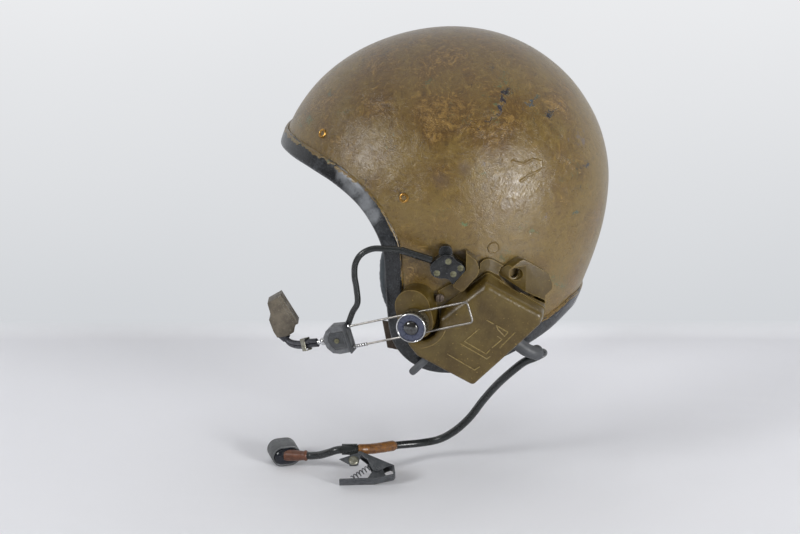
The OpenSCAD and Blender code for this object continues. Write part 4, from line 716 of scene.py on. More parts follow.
def joined(name, parts, material, body, slot, stands_for=(), smooth_deg=40):
    """One piece from several lists of (points, faces)."""
    points, faces = [], []
    for part_points, part_faces in parts:
        faces += [tuple(i + len(points) for i in f) for f in part_faces]
        points += part_points
    return piece(name, points, faces, material, body, slot, stands_for, smooth_deg)


def strand(path, radius, sides=6):
    """Points and faces of a thread or wire."""
    return skinned(tube_rings([Vector(p) for p in path], radius, sides))


def on_side(place, yaw=0, pitch=0):
    """Local x to the back, y up, z out of the wearer's left side."""
    turned_to = Matrix.Translation(place)
    for degrees, axis in ((yaw, "Z"), (pitch, "Y"), (90, "Z"), (90, "X")):
        turned_to = turned_to @ Matrix.Rotation(math.radians(degrees), 4, axis)
    return turned_to


BOX_AT = Vector((skin_x(27, -40, 0) + 21.5, 27, -40))
BOX = on_side(BOX_AT, -4, 5)
PIVOT_AT = BOX_AT + Vector((1.9, -49.5, 1.8))
PIVOT = on_side(PIVOT_AT, -15)
BOOM = PIVOT @ Matrix.Rotation(math.radians(17), 4, "Z")
PLUG_AT = Vector((skin_x(3, 4.5, 0) + 14.6, 3, 4.5))
CLIP = on_side((78, -65, -184.5), 0, -50)
CONNECTOR = on_side((49, -130, -190.5), 17)

# ---------------------------------------------------------------- leads first

LEAD = [
    (107.5, 76.5, -74), (103.5, 80.5, -75.5), (98, 81, -78.5), (94, 75, -83.5), (91, 66, -89),
    (85, 53, -103), (75, 44, -117), (65, 35, -133), (55, 25, -152), (46, 13, -168),
    (40, 0, -178.5), (40, -16, -182), (47, -36, -181), (56, -50, -179.3), (63, -58, -177.3),
    (66.8, -65, -176), (67.6, -72, -175.8), (67.6, -80, -175.8), (67, -87, -176.8),
    (64, -94, -180.5), (58.5, -101.5, -185), (55.1, -108, -187.1), (54, -112, -187.5)]
lead_path = route(LEAD, 0, 22, 6)
LEAD_R, MIC_LEAD_R = 3.3, 2.4
main_lead = tube("main_lead_cord", lead_path, LEAD_R, 20, CORD_RUBBER, "helmet", "cord_rubber",
                 ["main_lead"])

BOOM_LEAD_IN = Vector((-57, 6, -4.4))
MIC_LEAD = [PLUG_AT + Vector(p) for p in (
    (-4.8, -36.3, 14), (-4.8, -46.6, 14.9), (-5.3, -57.8, 14.8), (-5.8, -66.6, 10.3),
    (-6.8, -71.3, 2.1), (-7.8, -72, -8.1), (-8.5, -70.6, -18.4), (-9, -69.9, -30.5))]
MIC_LEAD += [BOOM @ (BOOM_LEAD_IN + Vector((8.5, 11.5, 0))), BOOM @ BOOM_LEAD_IN]
upper_path = route(MIC_LEAD, 0, 5, 10)
lower_path = route(MIC_LEAD, 5, 9, 10)
upper_lead, lower_lead = (
    tube(node + "_cord", path, MIC_LEAD_R, 18, CORD_RUBBER, None, "cord_rubber", [node])
    for node, path in (("mic_lead_upper", upper_path), ("mic_lead_lower", lower_path)))
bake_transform(upper_lead)
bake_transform(lower_lead)


# shrunk sleeve on the lead, ahead of the clip
sleeve_path = route(LEAD, 12.1, 15.6, 8)
sleeve_radii = ([LEAD_R + 0.15]
                + [4.45 + 0.12 * noise.noise(p * 0.35) for p in sleeve_path[1:-1]]
                + [LEAD_R + 0.15])
tube("lead_sleeve", sleeve_path, sleeve_radii, 24, SLEEVE_BROWN, "helmet", "sleeve_rubber")
tip_path = route([(54, -112, -187.5), (52.8, -117, -188), (51, -123, -188.7),
                  (48.8, -130.8, -189.2)], 0, 3, 5)
tip_radii = [3.7, 4.6, 4.5] + [4.0 + 1.2 * i / 12 + 0.15 * noise.noise(p * 0.5)
                                for i, p in enumerate(tip_path[3:])]
tube("connector_tip_sleeve", tip_path, tip_radii, 24, SLEEVE_RED, "helmet", "sleeve_rubber",
     ["connector_sleeve"])

# ---------------------------------------------------------------- shell, rivets and edge

COLUMNS, ROWS, SHELL_UNEVEN = 144, 46, 0.3


def bowl_points(edge, off, rows, uneven):
    """Rings of points from the crown down to an edge given by its angle at each bearing."""
    rings = []
    for i in range(1, rows + 1):
        ring = []
        for j in range(COLUMNS):
            bearing = 360 * j / COLUMNS
            p = skin(bearing, edge(bearing) * i / rows, off)
            p += (p - CENTRE).normalized() * uneven * noise.noise(p / UNEVEN_MM)
            ring.append(p)
        rings.append(ring)
    return rings


def bowl(name, edge, out, inner, rows, uneven, material, slot, stands_for):
    """A bowl with a wall between two distances from the shell's surface."""
    outer = bowl_points(edge, out, rows, uneven)
    lining = bowl_points(edge, inner, rows, 0)
    points = [skin(0, 0, out), skin(0, 0, inner)] + [p for r in outer + lining for p in r]
    first, second = 2, 2 + rows * COLUMNS
    faces = [(0, first + j, first + (j + 1) % COLUMNS) for j in range(COLUMNS)]
    faces += [(1, second + j, second + (j + 1) % COLUMNS) for j in range(COLUMNS)]
    for start in (first, second):
        for i in range(rows - 1):
            faces += band_faces(start + i * COLUMNS, start + (i + 1) * COLUMNS, COLUMNS)
    faces += band_faces(first + (rows - 1) * COLUMNS, second + (rows - 1) * COLUMNS, COLUMNS)
    return piece(name, points, faces, material, "helmet", slot, stands_for, 50)


bowl("painted_shell", rim, 0, -WALL, ROWS, SHELL_UNEVEN, SHELL_PAINT, "shell_paint", ["shell"])
bowl("foam_liner", lambda b: curve(fold(b), LINER_POINTS), -5.0, -17.0, 22, 0, LINER_FOAM,
     "liner_foam", ["impact_liner"])


def on_skin(bearing, angle, off, mirrored=False):
    """Local z out of the shell at a place on it."""
    p = skin(bearing, angle, off)
    q1 = skin(bearing + 1, angle, off) - skin(bearing - 1, angle, off)
    q2 = skin(bearing, angle + 1, off) - skin(bearing, angle - 1, off)
    n = q2.cross(q1).normalized()
    if mirrored:
        p.x, n.x = -p.x, -n.x
    return Matrix.Translation(p) @ n.to_track_quat("Z", "Y").to_matrix().to_4x4()


RIVETS = [(-60, 105.5), (-19, 98.5), (18, 88.5)]
EYELET = [(1.0, -5.6), (3.8, -5.6), (3.8, -5.0), (1.9, -4.9), (1.9, 0.2), (3.55, 0.25), (3.85, 0.5),
          (3.7, 0.95), (3.1, 1.25), (2.5, 1.2), (2.1, 0.85), (1.9, 0.45), (1.0, 0.4)]
BOTH_SIDES = (False, True)
brass = [turned(on_skin(a, b, 0, side), EYELET, 28) for a, b in RIVETS[:2] for side in BOTH_SIDES]
joined("brass_eyelets", brass, RIVET_BRASS, "helmet", "rivet_brass", ["shell_rivets"])
PLUGGED = [(1.9, 0.1), (1.9, 0.55), (1.2, 0.75), (0.4, 0.8)]
fills = [turned(on_skin(a, b, 0, side), PLUGGED, 20) for a, b in RIVETS[:2] for side in BOTH_SIDES]
HEX = [(4.9, -0.4), (4.7, 0.75), (4.4, 1.0), (4.05, 0.9), (3.8, 0.55), (0.5, 0.6)]
fills += [turned(on_skin(*RIVETS[2], 0, side), HEX, 18) for side in BOTH_SIDES]
joined("painted_rivet_centres", fills, SHELL_PAINT, "helmet", "shell_paint")

# edge rubber: round outside corners and a soft lip
# each (distance from the rim, distance out of the shell), in mm
EDGE = [(12.5, 0.8), (12.35, 1.5), (11.7, 2.05), (10.5, 2.3), (8, 2.42), (4, 2.45), (1, 2.42),
        (-0.6, 2.1), (-1.7, 1.2), (-2.3, 0), (-2.45, -1.4), (-2.45, -2.8), (-2.2, -4.2),
        (-1.5, -5.3), (-0.3, -6.05), (1.5, -6.3), (5, -6.3), (8, -6.25), (8.8, -5.8), (9, -5.2),
        (9, -4.75), (-0.45, -4.75), (-0.45, 0.3), (12.5, 0.3)]
EDGE_STEPS = 288
edge_rings = []
for j, (c, s) in enumerate(spokes(EDGE_STEPS)):
    wave = 0.25 * noise.noise(Vector((c * 9, 3, s * 9)))
    edge_rings.append([from_rim(360 * j / EDGE_STEPS, away + wave * (i in (0, 1, 2, 23)), off)
                       for i, (away, off) in enumerate(EDGE)])
rings_piece("edge_rubber", edge_rings, EDGE_RUBBER, "helmet", "edge_rubber", ["edge_trim"],
            loop=True, smooth_deg=65)

# paint that was brushed over the top of the rubber and has broken away
lap = []
LAP_ROWS, LAP_STEPS = 5, EDGE_STEPS * 2
for j, (c, s) in enumerate(spokes(LAP_STEPS)):
    bearing = 360 * j / LAP_STEPS
    there = Vector((c * HALF_WIDE, 7, s * HALF_WIDE))
    reach = 0.5 + 1.2 * noise.noise(there / 26) + 0.9 * noise.noise(there / 6) \
        + 0.7 * noise.noise(there / 1.7)
    if fold(bearing) < -35:
        reach += 1.8 + 2.2 * noise.noise(there / 4) + 1.2 * noise.noise(there / 1.1)
    reach = max(0.15, min(7.5, reach))
    for i in range(LAP_ROWS):
        away = EDGE[0][0] + 0.25 - (reach + 0.3) * i / (LAP_ROWS - 1)
        lift = 0.32
        if away <= EDGE[0][0]:
            lift = 0.12 + curve(away, [(8, 2.42), (10.5, 2.3), (11.7, 2.05), (12.35, 1.55),
                                       (12.5, 0.9)])
        lap.append(from_rim(bearing, away, lift))
lap_faces = []
for j in range(LAP_STEPS):
    lap_faces += band_faces(j * LAP_ROWS, (j + 1) % LAP_STEPS * LAP_ROWS, LAP_ROWS, False)
piece("broken_paint_edge", lap, lap_faces, SHELL_PAINT, "helmet", "shell_paint")

# thick paint smeared over the rear of the side: crossing brush ridges and one raised hook
SMEAR_MIDDLE, SMEAR_REACH = (57, 66), (30, 33)
HOOK_HIGH, HOOK_WIDE = 0.75, 0.9
HOOK = [(52.6, 83.2), (61.7, 79.9), (69.1, 82.9), (76.5, 80.6), (76.5, 75.6), (71.8, 72.8),
        (66.3, 71.7), (59.9, 68.1)]


def ridge_height(y, z):
    """Height of the smeared paint over the shell's side, in millimetres."""
    p = Vector((y, z, 0))
    away = math.hypot((y - SMEAR_MIDDLE[0]) / SMEAR_REACH[0],
                      (z - SMEAR_MIDDLE[1]) / SMEAR_REACH[1])
    cover = max(0, min(1, (1.05 - away + 0.5 * noise.noise(p / 7)) * 1.6))
    warp = 3 * noise.noise(p / 12)
    combed = max(noise.noise(Vector(((y + z * 0.7 + warp) / 1.15, (z - y * 0.7) / 7, 3))),
                 noise.noise(Vector(((y - z * 0.5 + warp) / 1.05, (z + y * 0.5) / 6, 8))))
    hook = 9
    for (y1, z1), (y2, z2) in zip(HOOK, HOOK[1:]):
        a, d = Vector((y1, z1, 0)), Vector((y2 - y1, z2 - z1, 0))
        t = max(0, min(1, (p - a).dot(d) / d.dot(d)))
        hook = min(hook, (p - a - d * t).length)
    raised = HOOK_HIGH * math.exp(-(hook / HOOK_WIDE) ** 2) * (0.8 + 0.5 * noise.noise(p / 3))
    return -0.5 + cover * (0.56 + 0.38 * max(0, combed)) + raised


smear = []
ROWS_Z, ROWS_Y, STEP = 130, 124, 0.52
for i in range(ROWS_Z):
    for j in range(ROWS_Y):
        y, z = 25 + j * STEP, 32 + i * STEP
        base = Vector((skin_x(y, z, 0), y, z))
        slope = (base - CENTRE).normalized()
        uneven = SHELL_UNEVEN * noise.noise(base / UNEVEN_MM)
        smear.append(base + slope * uneven + slope * ridge_height(y, z))
smear_faces = []
for i in range(ROWS_Z - 1):
    smear_faces += band_faces(i * ROWS_Y, (i + 1) * ROWS_Y, ROWS_Y, False)
piece("smeared_paint", smear, smear_faces, SHELL_PAINT, "helmet", "shell_paint", (), 80)

# ---------------------------------------------------------------- lining pads

PAD_OFF, PAD_THICK, SEAM_SHARE, SEAM_DEEP = -18.0, 9, 0.07, 0.42


def stitched_pad(name, node, az0, az1, al0, al1, channels):
    """A sewn pad on the liner: stuffed between its seams, with a welt and stitches."""
    n, m = 72, 30
    rows, flat = [], []
    for j in range(m + 1):
        row = []
        for i in range(n + 1):
            s, t = i / n, j / m
            rise = max(0, math.sin(math.pi * s)) ** 0.34 * max(0, math.sin(math.pi * t)) ** 0.42
            near = min((s * channels) % 1, 1 - (s * channels) % 1)
            groove = 1
            if 0.02 < s < 0.98:
                groove -= SEAM_DEEP * math.exp(-(near / SEAM_SHARE) ** 2)
            bearing, angle = az0 + (az1 - az0) * s, al0 + (al1 - al0) * t
            pucker = 1 + 0.05 * noise.noise(skin(bearing, angle, 0) / 5) * (1 - rise * groove * 0.6)
            full = (0.16 + 0.84 * rise * groove) * min(1, pucker)
            row.append(skin(bearing, angle, PAD_OFF - PAD_THICK * full))
            flat.append(skin(bearing, angle, PAD_OFF))
        rows.append(row)
    points = [p for r in rows for p in r] + flat
    faces, border = slab_faces(n + 1, m + 1)
    pad = piece(name, points, faces, PAD_LEATHER, "helmet", "pad_leather", [node], 70)
    # welt round the border
    welt = [points[i] * 0.5 + flat[i] * 0.5 for i in border]
    welt = [p + (CENTRE - p).normalized() * 0.9 for p in welt]
    joined(name + "_welt", [strand(welt[k:k + 9], 0.9, 8) for k in range(0, len(welt) - 1, 8)],
           PAD_LEATHER, "helmet", "pad_leather")
    # stitches along the sewn channels
    parts = []
    for c in range(1, channels):
        column = round(n * c / channels)
        line = [rows[j][column] + (CENTRE - rows[j][column]).normalized() * 0.25
                for j in range(2, m - 1)]
        for k in range(0, len(line) - 1, 2):
            top = line[k].lerp(line[k + 1], 0.5) + (CENTRE - line[k]).normalized() * 0.2
            parts.append(strand([line[k], top, line[k + 1]], 0.32))
    joined(name + "_stitches", parts, THREAD, "helmet", "pad_leather")


stitched_pad("crown_cushion_pad", "crown_pad", -170, -10, 22, 62, 4)
stitched_pad("brow_cushion_pad", "brow_pad", -146, -34, 78, 90, 4)
stitched_pad("nape_cushion_pad", "nape_pad", 44, 136, 52, 68, 4)

# ---------------------------------------------------------------- ear cups

EAR_Y, EAR_Z, EAR_W, EAR_H = -11, -17, 30, 39
EAR_BACK = skin_x(EAR_Y, EAR_Z, -WALL) - 2.5
EAR_CUP = EAR_BACK - 9
EAR_OPEN = EAR_CUP - 15


def oval(w, h, a, p):
    """A point at an angle on an oval; the power p squares it off."""
    return Vector([half * math.copysign(abs(way) ** (2 / p), way)
                   for half, way in ((w, math.cos(a)), (h, math.sin(a)))])


def flip(points, mirrored):
    """The points, or their mirror image on the wearer's right."""
    return [Vector((-p.x, p.y, p.z)) for p in points] if mirrored else points


def ear_cushion(side, mirrored):
    """A stuffed vinyl ring with a welded seam and fine gathers at its inner and outer edge."""
    place = on_side((EAR_OPEN - 0.3, EAR_Y, EAR_Z))
    n, k, thick, deep = 160, 28, 9.2, 17
    rings = []
    for i in range(n):
        a = 2 * math.pi * i / n
        p, q = oval(EAR_W, EAR_H, a, 2.3), oval(EAR_W, EAR_H, a + 0.01, 2.3)
        d = (q - p).normalized()
        outward = Vector((d.y, -d.x))
        ring = []
        for j in range(k):
            b = 2 * math.pi * j / k
            across, up = math.cos(b), math.sin(b)
            across = math.copysign(abs(across) ** 0.85, across)
            high = 0.5 + 0.5 * math.copysign(abs(up) ** 0.8, up)
            gather = (1 + 0.035 * noise.noise(Vector((a * 13, math.cos(b) * 1.2, 5)))
                      + 0.02 * math.sin(a * 64 + 2 * math.cos(b * 3)) * abs(across) ** 3)
            # welded seams near the outer and the inner edge
            seam = 1 - sum(0.07 * math.exp(-((b - at) / 0.09) ** 2)
                           for at in (0.15, math.pi - 0.15))
            w = thick * across * gather * seam
            ring.append(place @ Vector((p.x + outward.x * w, p.y + outward.y * w,
                                        -deep * high * (0.985 + 0.015 * gather))))
        rings.append(flip(ring, mirrored))
    made = rings_piece("ear_cushion_skin_" + side, rings, CUSHION_VINYL, "helmet", "cushion_vinyl",
                       ["ear_cushion_" + side], loop=True, smooth_deg=80)


def ear_backing(side, mirrored):
    """Foam block between the ear cup and the shell, shaved to the shell's curve."""
    place = on_side((EAR_CUP + 0.3, EAR_Y, EAR_Z))
    rings = []
    for inset, share in (
            (1.6, 0), (0.3, 0.04), (0, 0.12), (0.2, 0.5), (0, 0.88), (0.3, 0.96), (1.6, 1)):
        ring = []
        for i in range(64):
            p = oval(21 - inset, 28 - inset, 2 * math.pi * i / 64, 2.4)
            base = place @ Vector((p.x, p.y, 0))
            top = min(base.x + 9, skin_x(base.y, base.z, -WALL - 0.8))
            rough = 0.35 * noise.noise(Vector((p.x, p.y, share * 9)) / 3)
            ring.append(Vector((base.x + (top - base.x) * share, base.y + rough, base.z + rough)))
        rings.append(flip(ring, mirrored))
    made = rings_piece("ear_backing_foam_" + side, rings, BACKING_FOAM, "helmet", "backing_foam",
                       ["ear_backing_" + side], smooth_deg=50)


def strap_end(side, mirrored):
    """Doubled webbing with sewn edges, folded end and box stitching."""
    wide, tall, slant, thick, m, n = 16, 24, 4, 2.1, 12, 22
    root = skin(15, rim(15), 0)
    off = -WALL - 2.6

    def spot(i, j):
        return root.y - 7 + wide * j / m + slant * i / n, root.z - 2.5 - tall * i / n

    front, back = [], []
    for i in range(n + 1):
        for j in range(m + 1):
            y, z = spot(i, j)
            z += 0.5 * noise.noise(Vector((j, 0, 3)) / 3) * (i == n)
            x = skin_x(y, z, off)
            swell = 1 - 0.25 * (abs(2 * j / m - 1) > 0.9)
            swell += 0.05 * noise.noise(Vector((y, z, 1)) / 2)
            front.append(Vector((x - thick * swell, y, z)))
            back.append(Vector((x, y, z)))
    faces = slab_faces(m + 1, n + 1)[0]
    piece("strap_webbing_" + side, flip(front + back, mirrored), faces, WEBBING, "helmet",
          "webbing", ["chin_strap_" + side], 50)
    parts = []
    for line in ([(i, 1.5) for i in range(1, n)], [(i, m - 1.5) for i in range(1, n)],
                 [(3, j) for j in range(2, m - 1)], [(14, j) for j in range(2, m - 1)]):
        spots = []
        for i, j in line:
            y, z = spot(i, j)
            spots.append(Vector((skin_x(y, z, off) - thick - 0.15, y, z)))
        for k in range(0, len(spots) - 1, 2):
            parts.append(strand(flip([spots[k], spots[k + 1].lerp(spots[k], 0.3)], mirrored), 0.28))
    joined("strap_stitches_" + side, parts, THREAD, "helmet", "webbing")


for side, mirrored in (("left", False), ("right", True)):
    ear_cushion(side, mirrored)
    ear_backing(side, mirrored)
    strap_end(side, mirrored)
    refine("ear_cup_" + side, CUP_PLASTIC, 0.8)
    refine("earphone_" + side, CUP_PLASTIC, 0.4)

# ---------------------------------------------------------------- communication box

refine("housing_base", BOX_PAINT, 1.1, 24, 3)
FACE = [(6, 31.5), (46.8, 8), (45.8, 2.6), (-4, -49.5), (-46, -26), (-51.5, -18.5)]
FOOT = [(6.5, 33.5), (48.2, 7), (47.4, 1), (-4, -52), (-48, -27.5), (-55, -17)]
CORNER, COVER_DEEP, SCOOP = 3, 14.5, 17.4


def drawn_in(corners, by):
    """The clockwise outline moved in, by one distance or by one for the side before each corner."""
    made = []
    n = len(corners)
    by = by if isinstance(by, list) else [by] * n
    for i in range(n):
        p, a, b = (Vector(corners[k % n]) for k in (i, i - 1, i + 1))
        d0, d1 = (p - a).normalized(), (b - p).normalized()
        n0, n1 = Vector((d0.y, -d0.x)), Vector((d1.y, -d1.x))
        cross, b0, b1 = n0.x * n1.y - n0.y * n1.x, by[i], by[(i + 1) % n]
        made.append(p + Vector((b0 * n1.y - b1 * n0.y, b1 * n0.x - b0 * n1.x)) / cross)
    return made


def soft_outline(corners, radius, count=240):
    """Evenly spaced points round the outline with rounded corners."""
    n = len(corners)
    rough = []
    for i in range(n):
        c = Vector(corners[i])
        d0 = (c - Vector(corners[i - 1])).normalized()
        d1 = (Vector(corners[(i + 1) % n]) - c).normalized()
        a0, a1 = math.atan2(d0.x, -d0.y), math.atan2(d1.x, -d1.y)
        turn = (a1 - a0) % (2 * math.pi) - 2 * math.pi
        rough += [c + radius * Vector((math.cos(a0 + turn * j / 8), math.sin(a0 + turn * j / 8)))
                  for j in range(9)]
    spans = [(b - a).length for a, b in zip(rough, rough[1:] + rough[:1])]
    total, points, i, passed = sum(spans), [], 0, 0
    for k in range(count):
        goal = total * k / count
        while passed + spans[i] < goal:
            passed += spans[i]
            i += 1
        points.append(rough[i].lerp(rough[(i + 1) % len(rough)],
                                    (goal - passed) / max(1e-6, spans[i])))
    return points


ROUND = [5.6, 5.6, 3.6, 2.2, 2.2, 4]


def cover():
    """Cast cover, widely rounded along the top, cut away round the boom's mounting."""
    heart = sum((Vector(c) for c in FACE), Vector((0, 0))) / len(FACE)
    face = soft_outline(drawn_in(FACE, ROUND), CORNER)
    plan = [([heart.lerp(p, share) for p in face], 0, 6) for share in (0.06, 0.3, 0.55, 0.8, 0.93)]
    for a in range(0, 91, 9):
        left = 1 - math.sin(math.radians(a))
        plan.append((soft_outline(drawn_in(FACE, [r * left for r in ROUND]), CORNER),
                     math.cos(math.radians(a)) - 1, 4.6 * left))
    wall, foot = plan[-1][0], soft_outline(FOOT, CORNER)
    for k in range(1, 8):
        plan.append(([p.lerp(q, k / 7) for p, q in zip(wall, foot)], -1 - k, 0))
    rings = []
    back_in = PIVOT.inverted()
    for outline, fall, by in plan:
        ring = []
        for p in outline:
            up = max(0, min(1, (p - heart).normalized().y / 0.5))
            edge = 2.4 + 4.2 * up
            z = edge * fall if fall >= -1 else -edge + (COVER_DEEP - edge) * (fall + 1) / 7
            lump = 0.14 * noise.noise(p.to_3d() / 6) + 0.06 * noise.noise(p.to_3d() / 1.8) - 0.14
            q = back_in @ (BOX @ Vector((p.x, p.y, z + lump)))
            reach = math.hypot(q.x, q.y)
            if reach < SCOOP + by:
                q.x, q.y = q.x * (SCOOP + by) / reach, q.y * (SCOOP + by) / reach
            ring.append(PIVOT @ q)
        rings.append(ring)
    rings_piece("cast_cover", rings, BOX_PAINT, "helmet", "box_paint", ["housing_cover"],
                smooth_deg=60)


cover()
refine("rear_bracket", BOX_PAINT, 0.8, 24, 3)
refine("socket_block", BOX_PAINT, 0.6, 24, 3)
refine("cover_gasket", GASKET_RUBBER, 0.15)
refine("box_screws", SCREW_STEEL, 0.25)
refine("lug_screw", DARK_SCREW, 0.25)
LUG, SEAT_R = on_skin(17.2, 113.5, 3.6), 6.2
seat = [LUG @ Vector((SEAT_R * math.cos(a), SEAT_R * math.sin(a), 0.15))
        for a in (math.radians(turn) for turn in (150, 195, 240, 285))]
joined("lug_seat_rim", [strand([a, b], 0.35) for a, b in zip(seat, seat[1:])], RUBBED_PAINT,
       "helmet", "box_paint")
refine("mic_plug_body", PLUG_PLASTIC, 1.0, 24, 3)
refine("mic_plug_screws", SCREW_STEEL, 0.15)

# plain raised lines of the casting, worn on their tops
LINES = [[(0.9, -3.4), (-10.6, -14.5), (6.6, -25), (9.5, -21)],
         [(11, -19.5), (18.6, -12), (15, -9.4)],
         [(-13.7, -16.6), (7.1, -29.2), (9.7, -26.9)],
         [(15.6, -3.8), (13.8, -0.1), (23.2, -5.7), (20.6, -9.3), (15.6, -3.8)],
         [(29, -5.4), (17, -19.5)],
         [(-24, -25.8), (-2.3, -39.2), (1.7, -36.1)],
         [(6.6, 4.1), (12, 1)]]
marks = []
for line in LINES:
    path = []
    for a, b in zip(line, line[1:]):
        path += [Vector(a).lerp(Vector(b), k / 8) for k in range(8)]
    marks.append(strand([BOX @ Vector((*p, 0.02)) for p in path + [line[-1]]], 0.42, 8))
joined("cover_raised_lines", marks, RUBBED_PAINT, "helmet", "box_paint", (), 50)

# rubber boots and elbow
ELBOW = [(113, 54.5, -58.5), (113, 60, -64.5), (113, 66.5, -69.5), (111.5, 72.5, -72.5),
         (107.5, 76.5, -74)]
elbow_path = route(ELBOW, 0, 4, 12)
swell = []
for i in range(len(elbow_path)):
    t = i / (len(elbow_path) - 1)
    swell.append(5.4 + 0.45 * math.exp(-(t / 0.16) ** 2) + 0.8 * math.exp(-((t - 0.93) / 0.08) ** 2)
                 - (1.3 if t == 1 else 0.35 if t > 0.975 else 0))
tube("elbow_moulding", elbow_path, swell, 32, ELBOW_RUBBER, "helmet", "elbow_rubber",
     ["lead_elbow"])
boot_path = route([PLUG_AT + Vector((-4.8, -12.4, 5.9)), MIC_LEAD[0]], 0, 1, 24)
boot_radii = [3.0 - 0.25 * i / 24 + 0.12 * (i > 20) + 0.06 * math.sin(i * 1.7)
              for i in range(24)] + [2.6]
tube("plug_boot_moulding", boot_path, boot_radii, 28, CORD_RUBBER, "helmet", "plug_plastic",
     ["mic_plug_boot"])
blank = BOX @ Matrix.Translation((-35.5, -30, -10)) @ Matrix.Rotation(math.radians(226), 4, "Z") \
    @ Matrix.Rotation(math.radians(90), 4, "Y")
lathe("blank_boot_moulding", blank,
      [(2.9, 0.5), (2.9, 4), (3.1, 4.6), (3.1, 5.6), (2.85, 6.2), (2.95, 15), (3.1, 21),
       (3.0, 23.6), (2.5, 24.9), (1.6, 25.6), (0.5, 25.7)], 32, ELBOW_RUBBER, "helmet",
      "elbow_rubber", ["blank_boot"])

# ---------------------------------------------------------------- boom

refine("pivot_post", SCREW_STEEL, 0.2)
refine("friction_washer", CLAMP_METAL, 0.15)
refine("boom_clamp", CLAMP_METAL, 0.3)
RIBS, RIM_LOW, RIM_HIGH = 24, 3.1, 6.4


def knob_rim():
    """Knurled rim: fine rounded ribs, a lip under the silver ring."""
    sides = RIBS * 8
    rings = []
    for r, z, deep in ((9.5, 0, 0), (11.2, 0, 0.4), (11.75, 0.5, 0.8), (11.8, 5.4, 0.8),
                       (11.8, 5.9, 0.3), (11.8, 6.3, 0), (11.3, RIM_HIGH, 0), (9.5, RIM_HIGH, 0)):
        ring = []
        for k, (c, s) in enumerate(spokes(sides)):
            cut = r - deep * (0.5 - 0.5 * math.cos(2 * math.pi * k * RIBS / sides)) ** 1.5
            ring.append(PIVOT @ Vector((cut * c, cut * s, RIM_LOW + z)))
        rings.append(ring)
    rings_piece("knob_knurled_rim", rings, KNOB_METAL, "knob_set", "knob_metal", ["knob"], True, 55)


knob_rim()
TOP = RIM_LOW + RIM_HIGH
lathe("knob_bright_ring", PIVOT,
      [(10.72, TOP), (11.7, TOP), (11.78, TOP + 0.3), (11.78, TOP + 1.5), (11.6, TOP + 1.78),
       (11.3, TOP + 1.88), (10.95, TOP + 1.8), (10.74, TOP + 1.55)],
      96, BRIGHT_NICKEL, "knob_set", "bright_metal", ["knob_ring"], 60, True)
lathe("knob_enamel_face", PIVOT,
      [(5.85, TOP + 0.5), (5.85, TOP + 1.3), (6.1, TOP + 1.4), (9.9, TOP + 1.36),
       (10.3, TOP + 1.25), (10.68, TOP + 1.0), (10.68, TOP)],
      96, FACE_ENAMEL, "knob_set", "face_enamel", ["knob_face"], 50, True)
DOME_R, DOME_HIGH, DOME_FOOT = 5.72, 2.4, TOP + 1.4
dome = [(5.75, TOP + 0.5), (5.75, DOME_FOOT)]
dome += [(DOME_R * math.cos(a), DOME_FOOT + DOME_HIGH * math.sin(a))
         for a in (math.radians(turn) for turn in range(6, 90, 6))]
dome.append((0.15, DOME_FOOT + DOME_HIGH))
lathe("knob_bright_dome", PIVOT, dome, 64, DARK_DOME, "knob_set", "bright_metal", ["knob_dome"],
      50)

# the wire: two runs and a round-cornered loop behind the pivot
HALF, REAR_END, FRONT_END, BEND = 8.5, 46, -65, 2.6
wire = [Vector((FRONT_END, HALF, 0)), Vector((-20, HALF, 0)), Vector((15, HALF, 0))]
for first, middle in ((0, HALF - BEND), (90, BEND - HALF)):
    for a in (math.radians(first + step) for step in range(0, 91, 10)):
        wire.append(Vector((REAR_END - BEND + BEND * math.sin(a), middle + BEND * math.cos(a), 0)))
wire += [Vector((15, -HALF, 0)), Vector((-20, -HALF, 0)), Vector((FRONT_END, -HALF, 0))]
tube("boom_bent_wire", [BOOM @ p for p in wire], 0.8, 20, DRAWN_WIRE, "boom", "bright_metal",
     ["boom_wire"], 60)
refine("boom_block", BLOCK_NYLON, 0.45, 24, 3)
# raised plate on the block's face, with cut corners, a rubbed border and a filled dimple
PLATE = [(-1.6, 6.9), (-11.9, 7.2), (-14.6, 4.3), (-15.4, 1), (-14.6, -2.8), (-11.6, -6.9),
         (-1.6, -6.9)]
FRONT = BOOM @ Matrix.Translation((-56, 0, 5.0))
plate_rings = []
for by, z in ((-0.25, -0.6), (0, 0.3), (0.35, 0.75), (0.9, 0.85), (1.3, 0.7), (1.5, 0.55),
              (4, 0.55), (6, 0.55)):
    plate_rings.append([FRONT @ (p.to_3d() + Vector((0, 0, z))) for p in soft_outline(
        drawn_in(PLATE[::-1], by + 0.5), 0.5, 96)])
rings_piece("block_face_plate", plate_rings, DARK_NYLON, "boom", "block_plastic", smooth_deg=40)
refine("block_flange", DARK_NYLON, 0.3)
refine("block_screw", SCREW_STEEL, 0.12)
refine("wire_collars", BRIGHT_NICKEL, 0.15)
refine("mic_ball", BRIGHT_NICKEL, 0)

# ---------------------------------------------------------------- microphone

